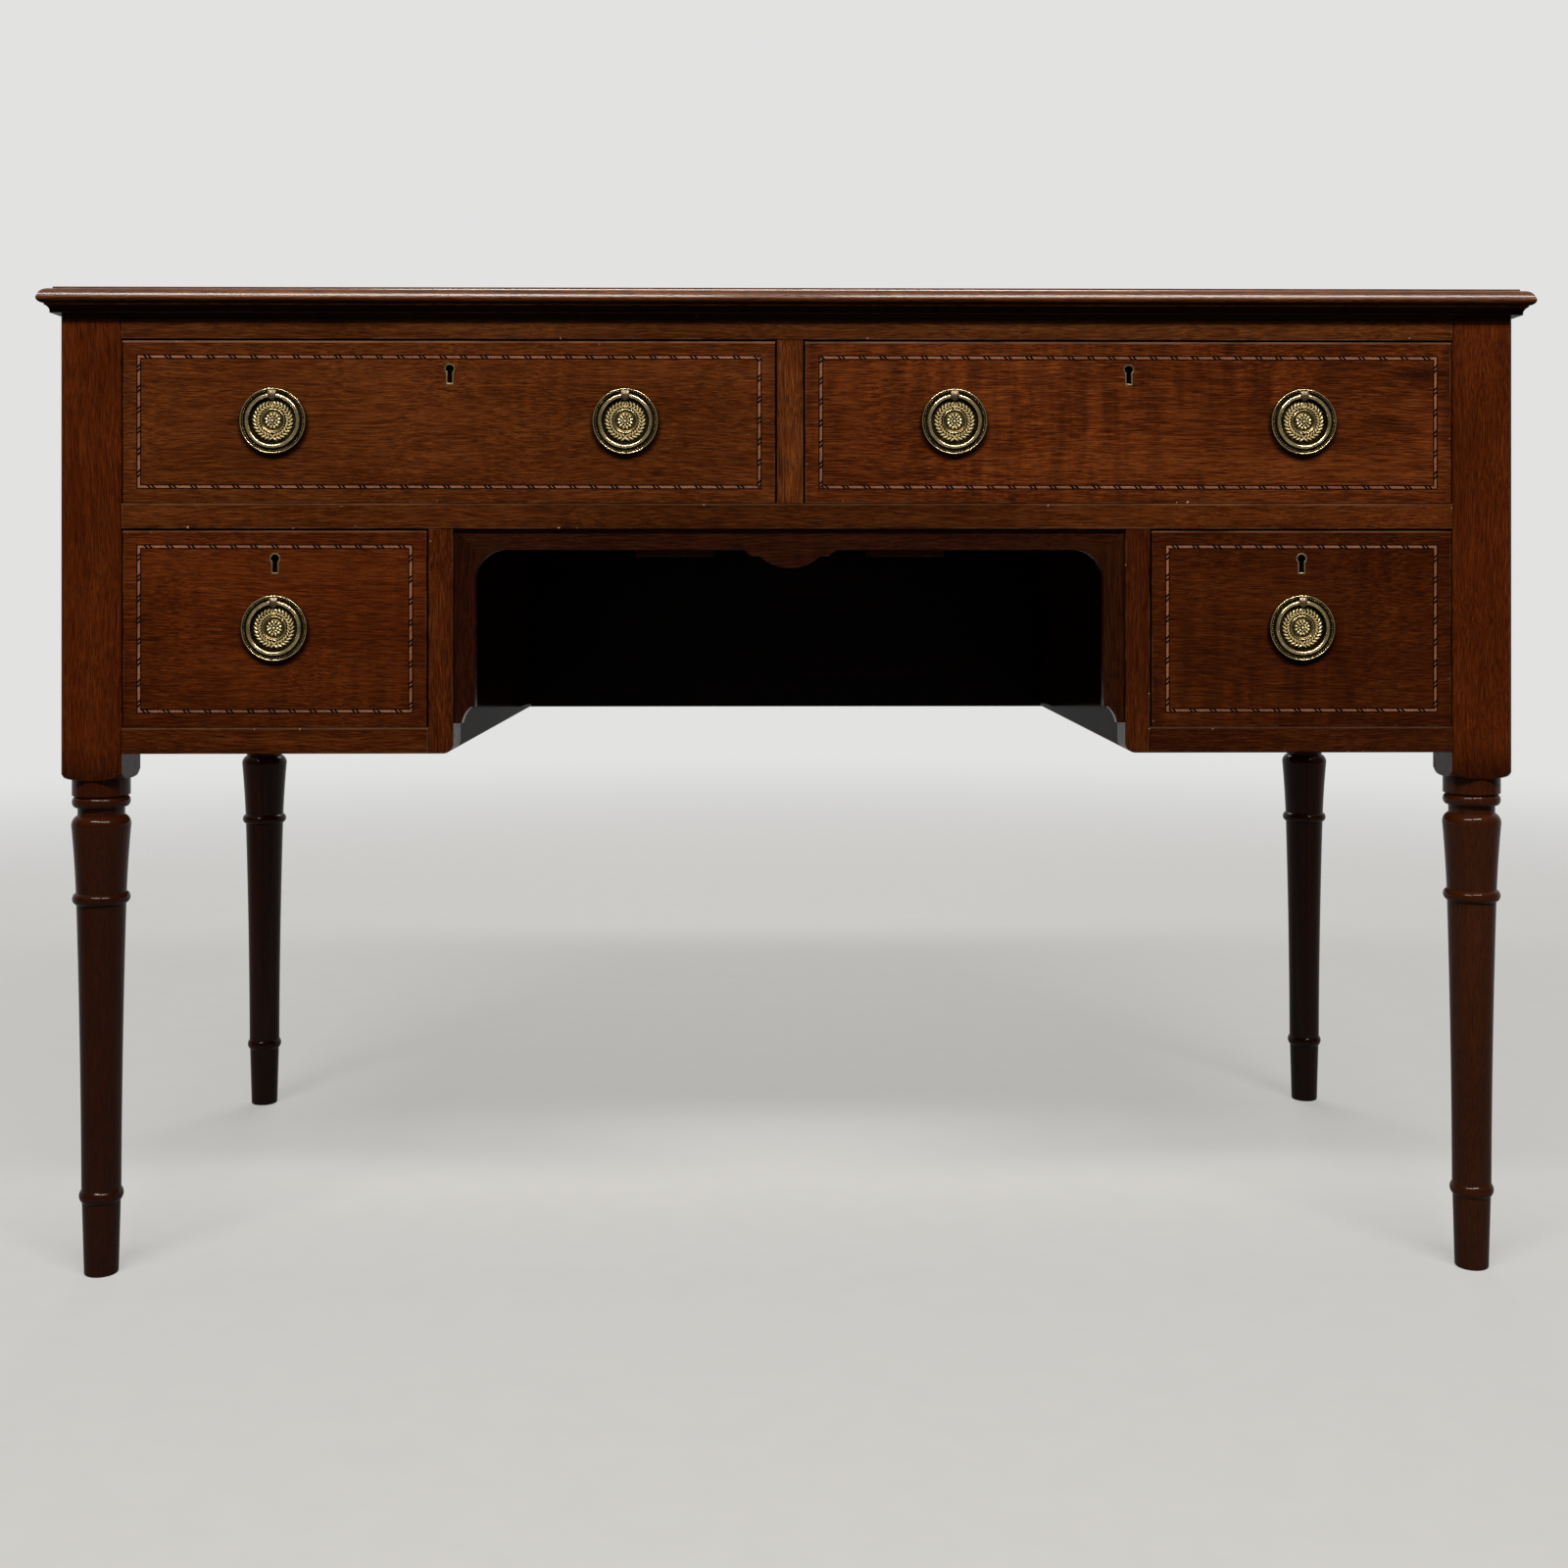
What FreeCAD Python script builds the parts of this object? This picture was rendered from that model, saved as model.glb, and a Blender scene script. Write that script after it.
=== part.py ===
import FreeCAD
import Part
import math
import os

# Kneehole writing table with a moulded top, turned legs and four dovetailed drawers.
# Millimetres, +Z up, front towards -Y, origin on the floor under the middle of the top.

Vector = FreeCAD.Vector

# Rounds are built with flat sides, so that the model stays light
TURNED_SIDES = 20
SMALL_SIDES = 10
RING_SIDES = 16
RING_SECTION_SIDES = 6
ARC_STEP_DEGREES = 45.0
LEAST_ARC_STEPS = 2

# Whole table
TABLE_HEIGHT = 762.0
TOP_WIDTH = 1144.0
TOP_DEPTH = 550.0
TOP_THICKNESS = 20.0
TOP_OVERHANG = 14.0

# Moulded edge of the top, measured in from its widest line and down from its upper face
TOP_STEP_INSET = 9.5
TOP_STEP_DEPTH = 1.6
NOSING_DEPTH = 8.6
NOSING_FOOT_INSET = 3.6
NOSING_FOOT_DEPTH = 13.0
CAVETTO_FILLET = 1.0
CAVETTO_FOOT_INSET = 7.7

# Leather let into the top
LEATHER_MARGIN = 66.0
LEATHER_THICKNESS = 1.2

# Front of the carcass, from the top down and from the corners in
TOP_RAIL_HEIGHT = 19.0
UPPER_OPENING_HEIGHT = 126.0
MIDDLE_RAIL_HEIGHT = 19.5
LOWER_OPENING_HEIGHT = 152.5
LOWER_RAIL_HEIGHT = 20.0
LOWER_OPENING_WIDTH = 234.5
POST_SIZE = 46.0
MUNTIN_WIDTH = 20.4
PARTITION_THICKNESS = 19.2
RAIL_DEPTH = 60.0
UPRIGHT_DEPTH = 34.0
KNEEHOLE_EDGE_RADIUS = 8.0

# Panels
END_PANEL_THICKNESS = 18.0
BACK_PANEL_THICKNESS = 15.0
PANEL_INSET = 2.0

# Turned leg, from the square post down
POST_DROP = 20.5
POMMEL_HEIGHT = 9.0
COLLAR_DIAMETER = 43.3
COLLAR_HEIGHT = 12.8
LEG_GROOVE_HEIGHT = 1.4
LEG_GROOVE_DEPTH = 1.3
BEAD_HEIGHT = 7.8
BEAD_BULGE = 1.7
NECK_DIAMETER = 35.0
NECK_HEIGHT = 6.5
SHOULDER_DIAMETER = 43.8
SHOULDER_HEIGHT = 9.5
THIGH_LENGTH = 50.5
THIGH_MIDDLE_DIAMETER = 40.0
THIGH_END_DIAMETER = 37.4
KNEE_RING_DIAMETER = 43.0
KNEE_RING_HEIGHT = 9.2
SHAFT_START_DIAMETER = 36.8
SHAFT_HOLLOW = 0.7

# Turned leg, from the floor up
FOOT_DIAMETER = 25.6
FOOT_EDGE = 1.5
FOOT_HEIGHT = 56.3
FOOT_TOP_DIAMETER = 28.6
ANKLE_RING_DIAMETER = 33.0
ANKLE_RING_HEIGHT = 9.4
ANKLE_DIAMETER = 29.5

# Shaped apron of the kneehole
APRON_WIDTH = 16.0
APRON_THICKNESS = 11.0
APRON_SETBACK = 3.0
APRON_CORNER_RADIUS = 24.0
RETURN_LENGTH = 149.5
RETURN_END_RISE = 12.6
RETURN_END_HOLLOW = 1.0
RETURN_INNER_FILLET = 3.0
RETURN_OUTER_FILLET = 5.8
DROP_WIDTH = 72.0
DROP_STEP_WIDTH = 6.2
DROP_STEP_HEIGHT = 4.9
DROP_ROUND_WIDTH = 47.0
DROP_ROUND_HEIGHT = 9.4
GLUE_BLOCK_LENGTH = 61.0
GLUE_BLOCK_OFFSET = 89.0
GLUE_BLOCK_SHOW = 5.5
GLUE_BLOCK_DEPTH = 16.0

# Drawer runners, kickers and stops
RUNNER_LEDGE = 14.0
GUIDE_HEIGHT = 26.0
STOP_LENGTH = 40.0
STOP_DEPTH = 24.0
STOP_HEIGHT = 7.0
STOP_INSET = 60.0
STOP_GAP = 0.3

# Drawer boxes
DRAWER_END_GAP = 35.0
DRAWER_SIDE_GAP = 1.2
DRAWER_TOP_GAP = 1.5
DRAWER_RUN_GAP = 0.3
DRAWER_FRONT_THICKNESS = 20.0
DRAWER_SIDE_THICKNESS = 10.0
DRAWER_BACK_THICKNESS = 9.0
DRAWER_BACK_DROP = 8.0
DRAWER_BOTTOM_THICKNESS = 6.0
DRAWER_BOTTOM_LIFT = 11.0
BOTTOM_GROOVE_DEPTH = 5.0
BOTTOM_GROOVE_GAP = 0.3
DOVETAIL_LAP = 6.0
DOVETAIL_PIN = 7.0
DOVETAIL_SLOPE = 1.0 / 7.0
DOVETAIL_PITCH = 40.0
LEAST_DOVETAILS = 2

# Inlaid stringing of a drawer front
STRING_INSET = 10.4
STRING_WIDTH = 3.8
STRING_THICKNESS = 1.0

# Drawer lock and keyhole
LOCK_WIDTH = 64.0
LOCK_HEIGHT = 40.0
LOCK_THICKNESS = 9.0
LOCK_WALL = 2.0
LOCK_BOLT_WIDTH = 22.0
LOCK_BOLT_HEIGHT = 15.0
LOCK_BOLT_GAP = 0.3
LOCK_BOLT_THROW = 7.0
MORTISE_CLEARANCE = 1.0
KEYHOLE_TOP_DROP = 17.0
KEYHOLE_HEIGHT = 16.5
KEYHOLE_HEAD_RADIUS = 3.1
KEYHOLE_SLOT_WIDTH = 3.6
ESCUTCHEON_WALL = 1.2
ESCUTCHEON_DEPTH = 4.0

# Ring pull, heights measured out from the drawer front
PULL_END_OFFSET = 115.0
PLATE_RADIUS = 25.0
PLATE_RIM_WIDTH = 2.2
PLATE_RIM_HEIGHT = 3.8
PLATE_BASE = 1.2
WREATH_OUTER_RADIUS = 16.2
WREATH_INNER_RADIUS = 10.7
WREATH_HEIGHT = 3.4
DISH_FLOOR = 1.9
ROSETTE_RADIUS = 6.4
ROSETTE_BOSS_RADIUS = 1.9
ROSETTE_BOSS_HEIGHT = 4.4
RING_RADIUS = 19.8
RING_THICKNESS = 3.6
RING_SEAT_GAP = 0.6
KNUCKLE_WIDTH = 5.6
KNUCKLE_HEIGHT = 5.8
KNUCKLE_SIDE_GAP = 0.4
PIVOT_DIAMETER = 2.6
PIVOT_BITE = 0.8
PIVOT_GAP = 0.15
SHANK_DIAMETER = 4.0
SHANK_GAP = 0.15
NUT_DIAMETER = 9.0
NUT_THICKNESS = 4.0
NUT_SIDES = 6
SHANK_END = 2.0

# Places that follow from the sizes
CARCASS_WIDTH = TOP_WIDTH - 2 * TOP_OVERHANG
CARCASS_DEPTH = TOP_DEPTH - 2 * TOP_OVERHANG
CARCASS_TOP = TABLE_HEIGHT - TOP_THICKNESS
FRONT_Y = -CARCASS_DEPTH / 2
BACK_Y = CARCASS_DEPTH / 2
OUTER_X = CARCASS_WIDTH / 2
POST_INNER_X = OUTER_X - POST_SIZE
END_PANEL_X = OUTER_X - PANEL_INSET
END_PANEL_INNER_X = END_PANEL_X - END_PANEL_THICKNESS
MUNTIN_X = MUNTIN_WIDTH / 2
PARTITION_X = POST_INNER_X - LOWER_OPENING_WIDTH
KNEEHOLE_X = PARTITION_X - PARTITION_THICKNESS
UPPER_OPENING_TOP = CARCASS_TOP - TOP_RAIL_HEIGHT
UPPER_OPENING_FLOOR = UPPER_OPENING_TOP - UPPER_OPENING_HEIGHT
LOWER_OPENING_TOP = UPPER_OPENING_FLOOR - MIDDLE_RAIL_HEIGHT
LOWER_OPENING_FLOOR = LOWER_OPENING_TOP - LOWER_OPENING_HEIGHT
CARCASS_FLOOR = LOWER_OPENING_FLOOR - LOWER_RAIL_HEIGHT
RAIL_BACK_Y = FRONT_Y + RAIL_DEPTH
UPRIGHT_BACK_Y = FRONT_Y + UPRIGHT_DEPTH
FRONT_POST_BACK_Y = FRONT_Y + POST_SIZE
BACK_POST_FRONT_Y = BACK_Y - POST_SIZE
BACK_PANEL_Y = BACK_Y - PANEL_INSET
BACK_PANEL_INNER_Y = BACK_PANEL_Y - BACK_PANEL_THICKNESS
DRAWER_BACK_FACE_Y = FRONT_Y + DRAWER_FRONT_THICKNESS
DRAWER_END_Y = BACK_PANEL_INNER_Y - DRAWER_END_GAP
RING_LIFT = PLATE_BASE + RING_SEAT_GAP + RING_THICKNESS / 2
LOCK_FRONT_Y = DRAWER_BACK_FACE_Y - LOCK_THICKNESS
BOLT_FRONT_Y = LOCK_FRONT_Y + LOCK_WALL + LOCK_BOLT_GAP
BOLT_BACK_Y = DRAWER_BACK_FACE_Y - LOCK_WALL - LOCK_BOLT_GAP


def box(x0, x1, y0, y1, z0, z1):
    """Block between two corners, given in any order along X."""
    low_x = min(x0, x1)
    return Part.makeBox(abs(x1 - x0), y1 - y0, z1 - z0, Vector(low_x, y0, z0))


def mirrored(shape):
    """The same piece on the other side of the table."""
    return shape.mirror(Vector(0, 0, 0), Vector(1, 0, 0))


def pair(shape):
    """A right-hand piece and its left-hand twin, as separate solids."""
    return [shape, mirrored(shape)]


def outline(start, segments, place):
    """Closed face from lines (one point) and arcs (middle and end point), mapped by place."""
    edges = []
    here = start
    for points in segments + [(start,)]:
        end = points[-1]
        if len(points) == 2:
            edges.append(Part.Arc(place(*here), place(*points[0]), place(*end)).toShape())
        elif end != here:
            edges.append(Part.LineSegment(place(*here), place(*end)).toShape())
        here = end
    return Part.Face(Part.Wire(edges))


def in_xz(x, z):
    return Vector(x, 0, z)


def in_yz(y, z):
    return Vector(0, y, z)


def flat(points):
    return Part.Face(Part.makePolygon(points + points[:1]))


def loop(radius, height, sides):
    """Corners of a regular outline about Z."""
    turns = [2 * math.pi * index / sides for index in range(sides)]
    return [Vector(radius * math.cos(turn), radius * math.sin(turn), height) for turn in turns]


def skin(loops, closed):
    """Solid through loops of points, capped at both ends unless it closes on itself."""
    faces = []
    steps = list(zip(loops, loops[1:]))
    if closed:
        steps.append((loops[-1], loops[0]))
    else:
        faces += [flat(loops[0]), flat(loops[-1])]
    for here, there in steps:
        for index in range(len(here)):
            following = (index + 1) % len(here)
            faces.append(flat([here[index], here[following], there[following], there[index]]))
    solid = Part.Solid(Part.Shell(faces))
    if solid.Volume < 0:
        solid.reverse()
    return solid.removeSplitter()


def stepped(start, segments):
    """Points of a profile of lines and arcs, its arcs in a few straight steps."""
    points = [start]
    for segment in segments:
        if len(segment) == 2:
            arc = Part.Arc(in_xz(*points[-1]), in_xz(*segment[0]), in_xz(*segment[1]))
            turn = math.degrees(arc.LastParameter - arc.FirstParameter)
            steps = max(LEAST_ARC_STEPS, LEAST_ARC_STEPS * round(turn / ARC_STEP_DEGREES / LEAST_ARC_STEPS))
            points += [(spot.x, spot.z) for spot in arc.discretize(Number=steps + 1)[1:-1]]
        points.append(segment[-1])
    return points


def turned(start, segments):
    """Turned piece about Z from a profile of (radius, height) points, flat at both ends."""
    return skin([loop(radius, height, TURNED_SIDES) for radius, height in stepped(start, segments)], False)


def bar(radius, start, along):
    """Small round bar or hole, its flats at the radius."""
    sideways = Vector(1, 0, 0) if along.x == 0 else Vector(0, 1, 0)
    upright = along.cross(sideways).normalize()
    corner = radius / math.cos(math.pi / SMALL_SIDES)
    corners = []
    for index in range(SMALL_SIDES):
        turn = 2 * math.pi * (index + 0.5) / SMALL_SIDES
        corners.append(start + sideways * (corner * math.cos(turn)) + upright * (corner * math.sin(turn)))
    return flat(corners).extrude(along)


def export(node, solids):
    """Write the separate solids of one node."""
    shape = solids[0] if len(solids) == 1 else Part.makeCompound(solids)
    shape.exportStep("parts/" + node + ".step")


def top_section(half, place):
    """Cross-section of the moulded top, half wide to each side."""
    top = TABLE_HEIGHT
    step = half - TOP_STEP_INSET
    foot = half - CAVETTO_FOOT_INSET
    nosing_foot = half - NOSING_FOOT_INSET
    fillet = nosing_foot - CAVETTO_FILLET
    step_z = top - TOP_STEP_DEPTH
    nosing_z = top - NOSING_DEPTH
    nosing_foot_z = top - NOSING_FOOT_DEPTH
    bend = math.sqrt(0.5)
    ovolo = (step + TOP_STEP_INSET * bend, nosing_z + (NOSING_DEPTH - TOP_STEP_DEPTH) * bend)
    under = (nosing_foot + NOSING_FOOT_INSET * bend, nosing_z - (NOSING_FOOT_DEPTH - NOSING_DEPTH) * bend)
    hollow = (fillet - (fillet - foot) * bend, nosing_foot_z - (nosing_foot_z - CARCASS_TOP) * (1 - bend))
    right = [
        ((step, step_z),),
        (ovolo, (half, nosing_z)),
        (under, (nosing_foot, nosing_foot_z)),
        ((fillet, nosing_foot_z),),
        (hollow, (foot, CARCASS_TOP)),
    ]
    left = []
    points = [(step, top)] + [segment[-1] for segment in right]
    for segment, end in zip(reversed(right), reversed(points[:-1])):
        left.append(tuple((-x, z) for x, z in segment[:-1] + (end,)))
    return outline((step, top), right + [((-foot, CARCASS_TOP),)] + left, place)


def table_top():
    """Slab with the same moulding on four mitred edges, recessed for the leather."""
    along_x = top_section(TOP_DEPTH / 2, in_yz).extrude(Vector(TOP_WIDTH, 0, 0))
    along_x.translate(Vector(-TOP_WIDTH / 2, 0, 0))
    along_y = top_section(TOP_WIDTH / 2, in_xz).extrude(Vector(0, TOP_DEPTH, 0))
    along_y.translate(Vector(0, -TOP_DEPTH / 2, 0))
    return along_x.common(along_y).cut(writing_leather())


def writing_leather():
    half_x = TOP_WIDTH / 2 - LEATHER_MARGIN
    half_y = TOP_DEPTH / 2 - LEATHER_MARGIN
    return box(-half_x, half_x, -half_y, half_y, TABLE_HEIGHT - LEATHER_THICKNESS, TABLE_HEIGHT)


def leg():
    """Square post that turns into a ringed, tapered leg, on its own axis."""
    post_floor = CARCASS_FLOOR - POST_DROP
    collar = COLLAR_DIAMETER / 2
    half = POST_SIZE / 2
    bend = math.sqrt(0.5)
    pommel_reach = half / bend / math.cos(math.pi / TURNED_SIDES) - collar
    pommel_top = post_floor + POMMEL_HEIGHT
    pommel_mid = (collar + pommel_reach * bend, post_floor + POMMEL_HEIGHT * (1 - bend))
    pommel = turned((collar, post_floor), [
        (pommel_mid, (collar + pommel_reach, pommel_top)),
        ((POST_SIZE, pommel_top),),
        ((POST_SIZE, CARCASS_TOP),),
    ])
    post = box(-half, half, -half, half, post_floor, CARCASS_TOP).common(pommel)

    collar_z = post_floor - COLLAR_HEIGHT
    bead_top = collar_z - LEG_GROOVE_HEIGHT
    bead_foot = bead_top - BEAD_HEIGHT
    neck_z = bead_foot - NECK_HEIGHT
    shoulder_z = neck_z - SHOULDER_HEIGHT
    knee_top = shoulder_z - THIGH_LENGTH
    knee_mid = knee_top - KNEE_RING_HEIGHT / 2
    knee_foot = knee_top - KNEE_RING_HEIGHT
    ankle_top = FOOT_HEIGHT + ANKLE_RING_HEIGHT
    ankle_mid = FOOT_HEIGHT + ANKLE_RING_HEIGHT / 2
    bead = collar - BEAD_BULGE
    groove = collar - LEG_GROOVE_DEPTH
    neck = NECK_DIAMETER / 2
    shoulder = SHOULDER_DIAMETER / 2
    thigh = THIGH_END_DIAMETER / 2
    shaft = SHAFT_START_DIAMETER / 2
    ankle = ANKLE_DIAMETER / 2
    foot = FOOT_DIAMETER / 2
    shoulder_mid = (neck + (shoulder - neck) * bend, neck_z - SHOULDER_HEIGHT * (1 - bend))
    thigh_mid = (THIGH_MIDDLE_DIAMETER / 2, (shoulder_z + knee_top) / 2)
    shaft_mid = ((shaft + ankle) / 2 - SHAFT_HOLLOW, (knee_foot + ankle_top) / 2)
    stem = turned((foot - FOOT_EDGE, 0), [
        ((foot, FOOT_EDGE),),
        ((FOOT_TOP_DIAMETER / 2, FOOT_HEIGHT),),
        ((ANKLE_RING_DIAMETER / 2, ankle_mid), (ankle, ankle_top)),
        (shaft_mid, (shaft, knee_foot)),
        ((KNEE_RING_DIAMETER / 2, knee_mid), (thigh, knee_top)),
        (thigh_mid, (shoulder, shoulder_z)),
        (shoulder_mid, (neck, neck_z)),
        ((neck, bead_foot),),
        ((bead, bead_foot),),
        ((collar, (bead_foot + bead_top) / 2), (bead, bead_top)),
        ((groove, (bead_top + collar_z) / 2),),
        ((collar, collar_z),),
        ((collar, post_floor),),
    ])
    return post.fuse(stem).removeSplitter()


def placed_leg(side_x, side_y):
    piece = leg()
    piece.translate(Vector(side_x * (OUTER_X - POST_SIZE / 2), side_y * (BACK_Y - POST_SIZE / 2), 0))
    return piece


def end_panel():
    return box(
        END_PANEL_INNER_X, END_PANEL_X, FRONT_POST_BACK_Y, BACK_POST_FRONT_Y, CARCASS_FLOOR, CARCASS_TOP
    )


def back_panel():
    return box(-POST_INNER_X, POST_INNER_X, BACK_PANEL_INNER_Y, BACK_PANEL_Y, CARCASS_FLOOR, CARCASS_TOP)


def front_rail(floor, top, mortise_centres):
    """Rail from post to post, mortised from below for the lock bolts of the drawers under it."""
    rail = box(-POST_INNER_X, POST_INNER_X, FRONT_Y, RAIL_BACK_Y, floor, top)
    half = LOCK_BOLT_WIDTH / 2 + MORTISE_CLEARANCE
    front = BOLT_FRONT_Y - MORTISE_CLEARANCE
    back = BOLT_BACK_Y + MORTISE_CLEARANCE
    depth = LOCK_BOLT_THROW - DRAWER_TOP_GAP + MORTISE_CLEARANCE
    for centre in mortise_centres:
        rail = rail.cut(box(centre - half, centre + half, front, back, floor, floor + depth))
    return rail


def lower_rail():
    return box(PARTITION_X, POST_INNER_X, FRONT_Y, RAIL_BACK_Y, CARCASS_FLOOR, LOWER_OPENING_FLOOR)


def muntin():
    return box(-MUNTIN_X, MUNTIN_X, FRONT_Y, UPRIGHT_BACK_Y, UPPER_OPENING_FLOOR, UPPER_OPENING_TOP)


def partition(front, back):
    """Upright beside the kneehole, with its lower inner edge rounded."""
    radius = KNEEHOLE_EDGE_RADIUS
    bend = radius * (1 - math.sqrt(0.5))
    section = outline((KNEEHOLE_X, LOWER_OPENING_TOP), [
        ((PARTITION_X, LOWER_OPENING_TOP),),
        ((PARTITION_X, CARCASS_FLOOR),),
        ((KNEEHOLE_X + radius, CARCASS_FLOOR),),
        ((KNEEHOLE_X + bend, CARCASS_FLOOR + bend), (KNEEHOLE_X, CARCASS_FLOOR + radius)),
    ], in_xz)
    piece = section.extrude(Vector(0, back - front, 0))
    piece.translate(Vector(0, front, 0))
    return piece


def apron_half():
    """Right half of the shaped frame under the middle rail: apron, round corner and return."""
    top = LOWER_OPENING_TOP
    edge_z = top - APRON_WIDTH
    inner_x = KNEEHOLE_X - APRON_WIDTH
    radius = APRON_CORNER_RADIUS
    bend = radius * (1 - math.sqrt(0.5))
    return_foot = top - RETURN_LENGTH
    return_inner_foot = return_foot + RETURN_END_RISE
    hollow_start = (inner_x + RETURN_INNER_FILLET, return_inner_foot)
    hollow_end = (KNEEHOLE_X - RETURN_OUTER_FILLET, return_foot)
    hollow_mid = (
        (hollow_start[0] + hollow_end[0]) / 2 + RETURN_END_HOLLOW,
        (hollow_start[1] + hollow_end[1]) / 2 + RETURN_END_HOLLOW,
    )
    step_z = edge_z - DROP_STEP_HEIGHT
    round_x = DROP_ROUND_WIDTH / 2
    # A round of this chord and height passes half its chord at this drop below the step
    sagitta_radius = (round_x ** 2 + DROP_ROUND_HEIGHT ** 2) / (2 * DROP_ROUND_HEIGHT)
    half_chord_z = math.sqrt(sagitta_radius ** 2 - (round_x / 2) ** 2) - (sagitta_radius - DROP_ROUND_HEIGHT)
    face = outline((0, top), [
        ((KNEEHOLE_X, top),),
        ((KNEEHOLE_X, return_foot),),
        (hollow_end,),
        (hollow_mid, hollow_start),
        ((inner_x, return_inner_foot),),
        ((inner_x, edge_z - radius),),
        ((inner_x - bend, edge_z - bend), (inner_x - radius, edge_z)),
        ((DROP_WIDTH / 2, edge_z),),
        ((DROP_WIDTH / 2 - DROP_STEP_WIDTH, step_z),),
        ((round_x, step_z),),
        ((round_x / 2, step_z - half_chord_z), (0, step_z - DROP_ROUND_HEIGHT)),
    ], in_xz)
    piece = face.extrude(Vector(0, APRON_THICKNESS, 0))
    piece.translate(Vector(0, FRONT_Y + APRON_SETBACK, 0))
    return piece


def return_side():
    """Space below the mitre that runs down and in from the kneehole's upper corner."""
    top = LOWER_OPENING_TOP
    reach = RETURN_LENGTH
    face = outline((KNEEHOLE_X, top), [
        ((KNEEHOLE_X, top - reach),),
        ((KNEEHOLE_X - reach, top - reach),),
    ], in_xz)
    piece = face.extrude(Vector(0, CARCASS_DEPTH, 0))
    piece.translate(Vector(0, FRONT_Y, 0))
    return piece


def kneehole_apron():
    half = apron_half().cut(return_side())
    return half.fuse(mirrored(half)).removeSplitter()


def apron_return():
    return apron_half().common(return_side())


def glue_block():
    """Block rubbed into the corner behind the apron, its free edge bevelled."""
    front = FRONT_Y + APRON_SETBACK + APRON_THICKNESS
    back = front + GLUE_BLOCK_DEPTH
    top = LOWER_OPENING_TOP
    foot = top - APRON_WIDTH - GLUE_BLOCK_SHOW
    face = outline((front, top), [
        ((back, top),),
        ((back, top - GLUE_BLOCK_SHOW),),
        ((front + GLUE_BLOCK_SHOW, foot),),
        ((front, foot),),
    ], in_yz)
    piece = face.extrude(Vector(GLUE_BLOCK_LENGTH, 0, 0))
    piece.translate(Vector(GLUE_BLOCK_OFFSET - GLUE_BLOCK_LENGTH / 2, 0, 0))
    return piece


def outer_runners(floor, top):
    """Runners along the end panels, each under the guide that lines up with the posts."""
    ledge_x = POST_INNER_X - RUNNER_LEDGE
    runner = box(ledge_x, END_PANEL_INNER_X, RAIL_BACK_Y, BACK_POST_FRONT_Y, floor, top)
    guide = box(POST_INNER_X, END_PANEL_INNER_X, RAIL_BACK_Y, BACK_POST_FRONT_Y, top, top + GUIDE_HEIGHT)
    return pair(runner) + pair(guide)


def centre_runner():
    """Runner shared by the upper drawers, under the guide between them."""
    half = MUNTIN_X + RUNNER_LEDGE
    floor = LOWER_OPENING_TOP
    top = UPPER_OPENING_FLOOR
    runner = box(-half, half, RAIL_BACK_Y, BACK_PANEL_INNER_Y, floor, top)
    guide = box(-MUNTIN_X, MUNTIN_X, RAIL_BACK_Y, BACK_PANEL_INNER_Y, top, top + GUIDE_HEIGHT)
    return [runner, guide]


def inner_runner():
    """Runner of a lower drawer along the kneehole panel."""
    ledge_x = PARTITION_X + RUNNER_LEDGE
    return box(PARTITION_X, ledge_x, RAIL_BACK_Y, BACK_PANEL_INNER_Y, CARCASS_FLOOR, LOWER_OPENING_FLOOR)


def drawer_runners():
    upper = centre_runner() + outer_runners(LOWER_OPENING_TOP, UPPER_OPENING_FLOOR)
    lower = pair(inner_runner()) + outer_runners(CARCASS_FLOOR, LOWER_OPENING_FLOOR)
    return upper + lower


def drawer_kickers():
    """Strips over the drawer sides that keep an open drawer level."""
    centre_x = MUNTIN_X + RUNNER_LEDGE
    ledge_x = POST_INNER_X - RUNNER_LEDGE
    pedestal_x = PARTITION_X + RUNNER_LEDGE
    centre = box(-centre_x, centre_x, RAIL_BACK_Y, BACK_PANEL_INNER_Y, UPPER_OPENING_TOP, CARCASS_TOP)
    outer = box(ledge_x, END_PANEL_INNER_X, RAIL_BACK_Y, BACK_POST_FRONT_Y, UPPER_OPENING_TOP, CARCASS_TOP)
    pedestal = box(
        KNEEHOLE_X, pedestal_x, RAIL_BACK_Y, BACK_PANEL_INNER_Y, LOWER_OPENING_TOP, UPPER_OPENING_FLOOR
    )
    return [centre] + pair(outer) + pair(pedestal)


def drawer_stops(openings):
    """Blocks on the rails that the drawer fronts close against."""
    front = DRAWER_BACK_FACE_Y + STOP_GAP
    solids = []
    for opening in openings:
        for start in (opening.left + STOP_INSET, opening.right - STOP_INSET - STOP_LENGTH):
            floor = opening.floor
            back = front + STOP_DEPTH
            solids.append(box(start, start + STOP_LENGTH, front, back, floor, floor + STOP_HEIGHT))
    return solids


def keyhole(centre_x, head_z, radius, slot_width, drop, front, back):
    """Keyhole-shaped block: a round head over a straight slot."""
    head = bar(radius, Vector(centre_x, front, head_z), Vector(0, back - front, 0))
    half = slot_width / 2
    slot = box(centre_x - half, centre_x + half, front, back, head_z - drop, head_z)
    return head.fuse(slot).removeSplitter()


class Opening:
    """One drawer opening of the carcass, with the place of each ring along X."""

    def __init__(self, name, left, right, floor, top, rings):
        self.name = name
        self.left = left
        self.right = right
        self.floor = floor
        self.top = top
        self.rings = rings
        self.centre_x = (left + right) / 2
        self.pull_z = (floor + top) / 2


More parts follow.
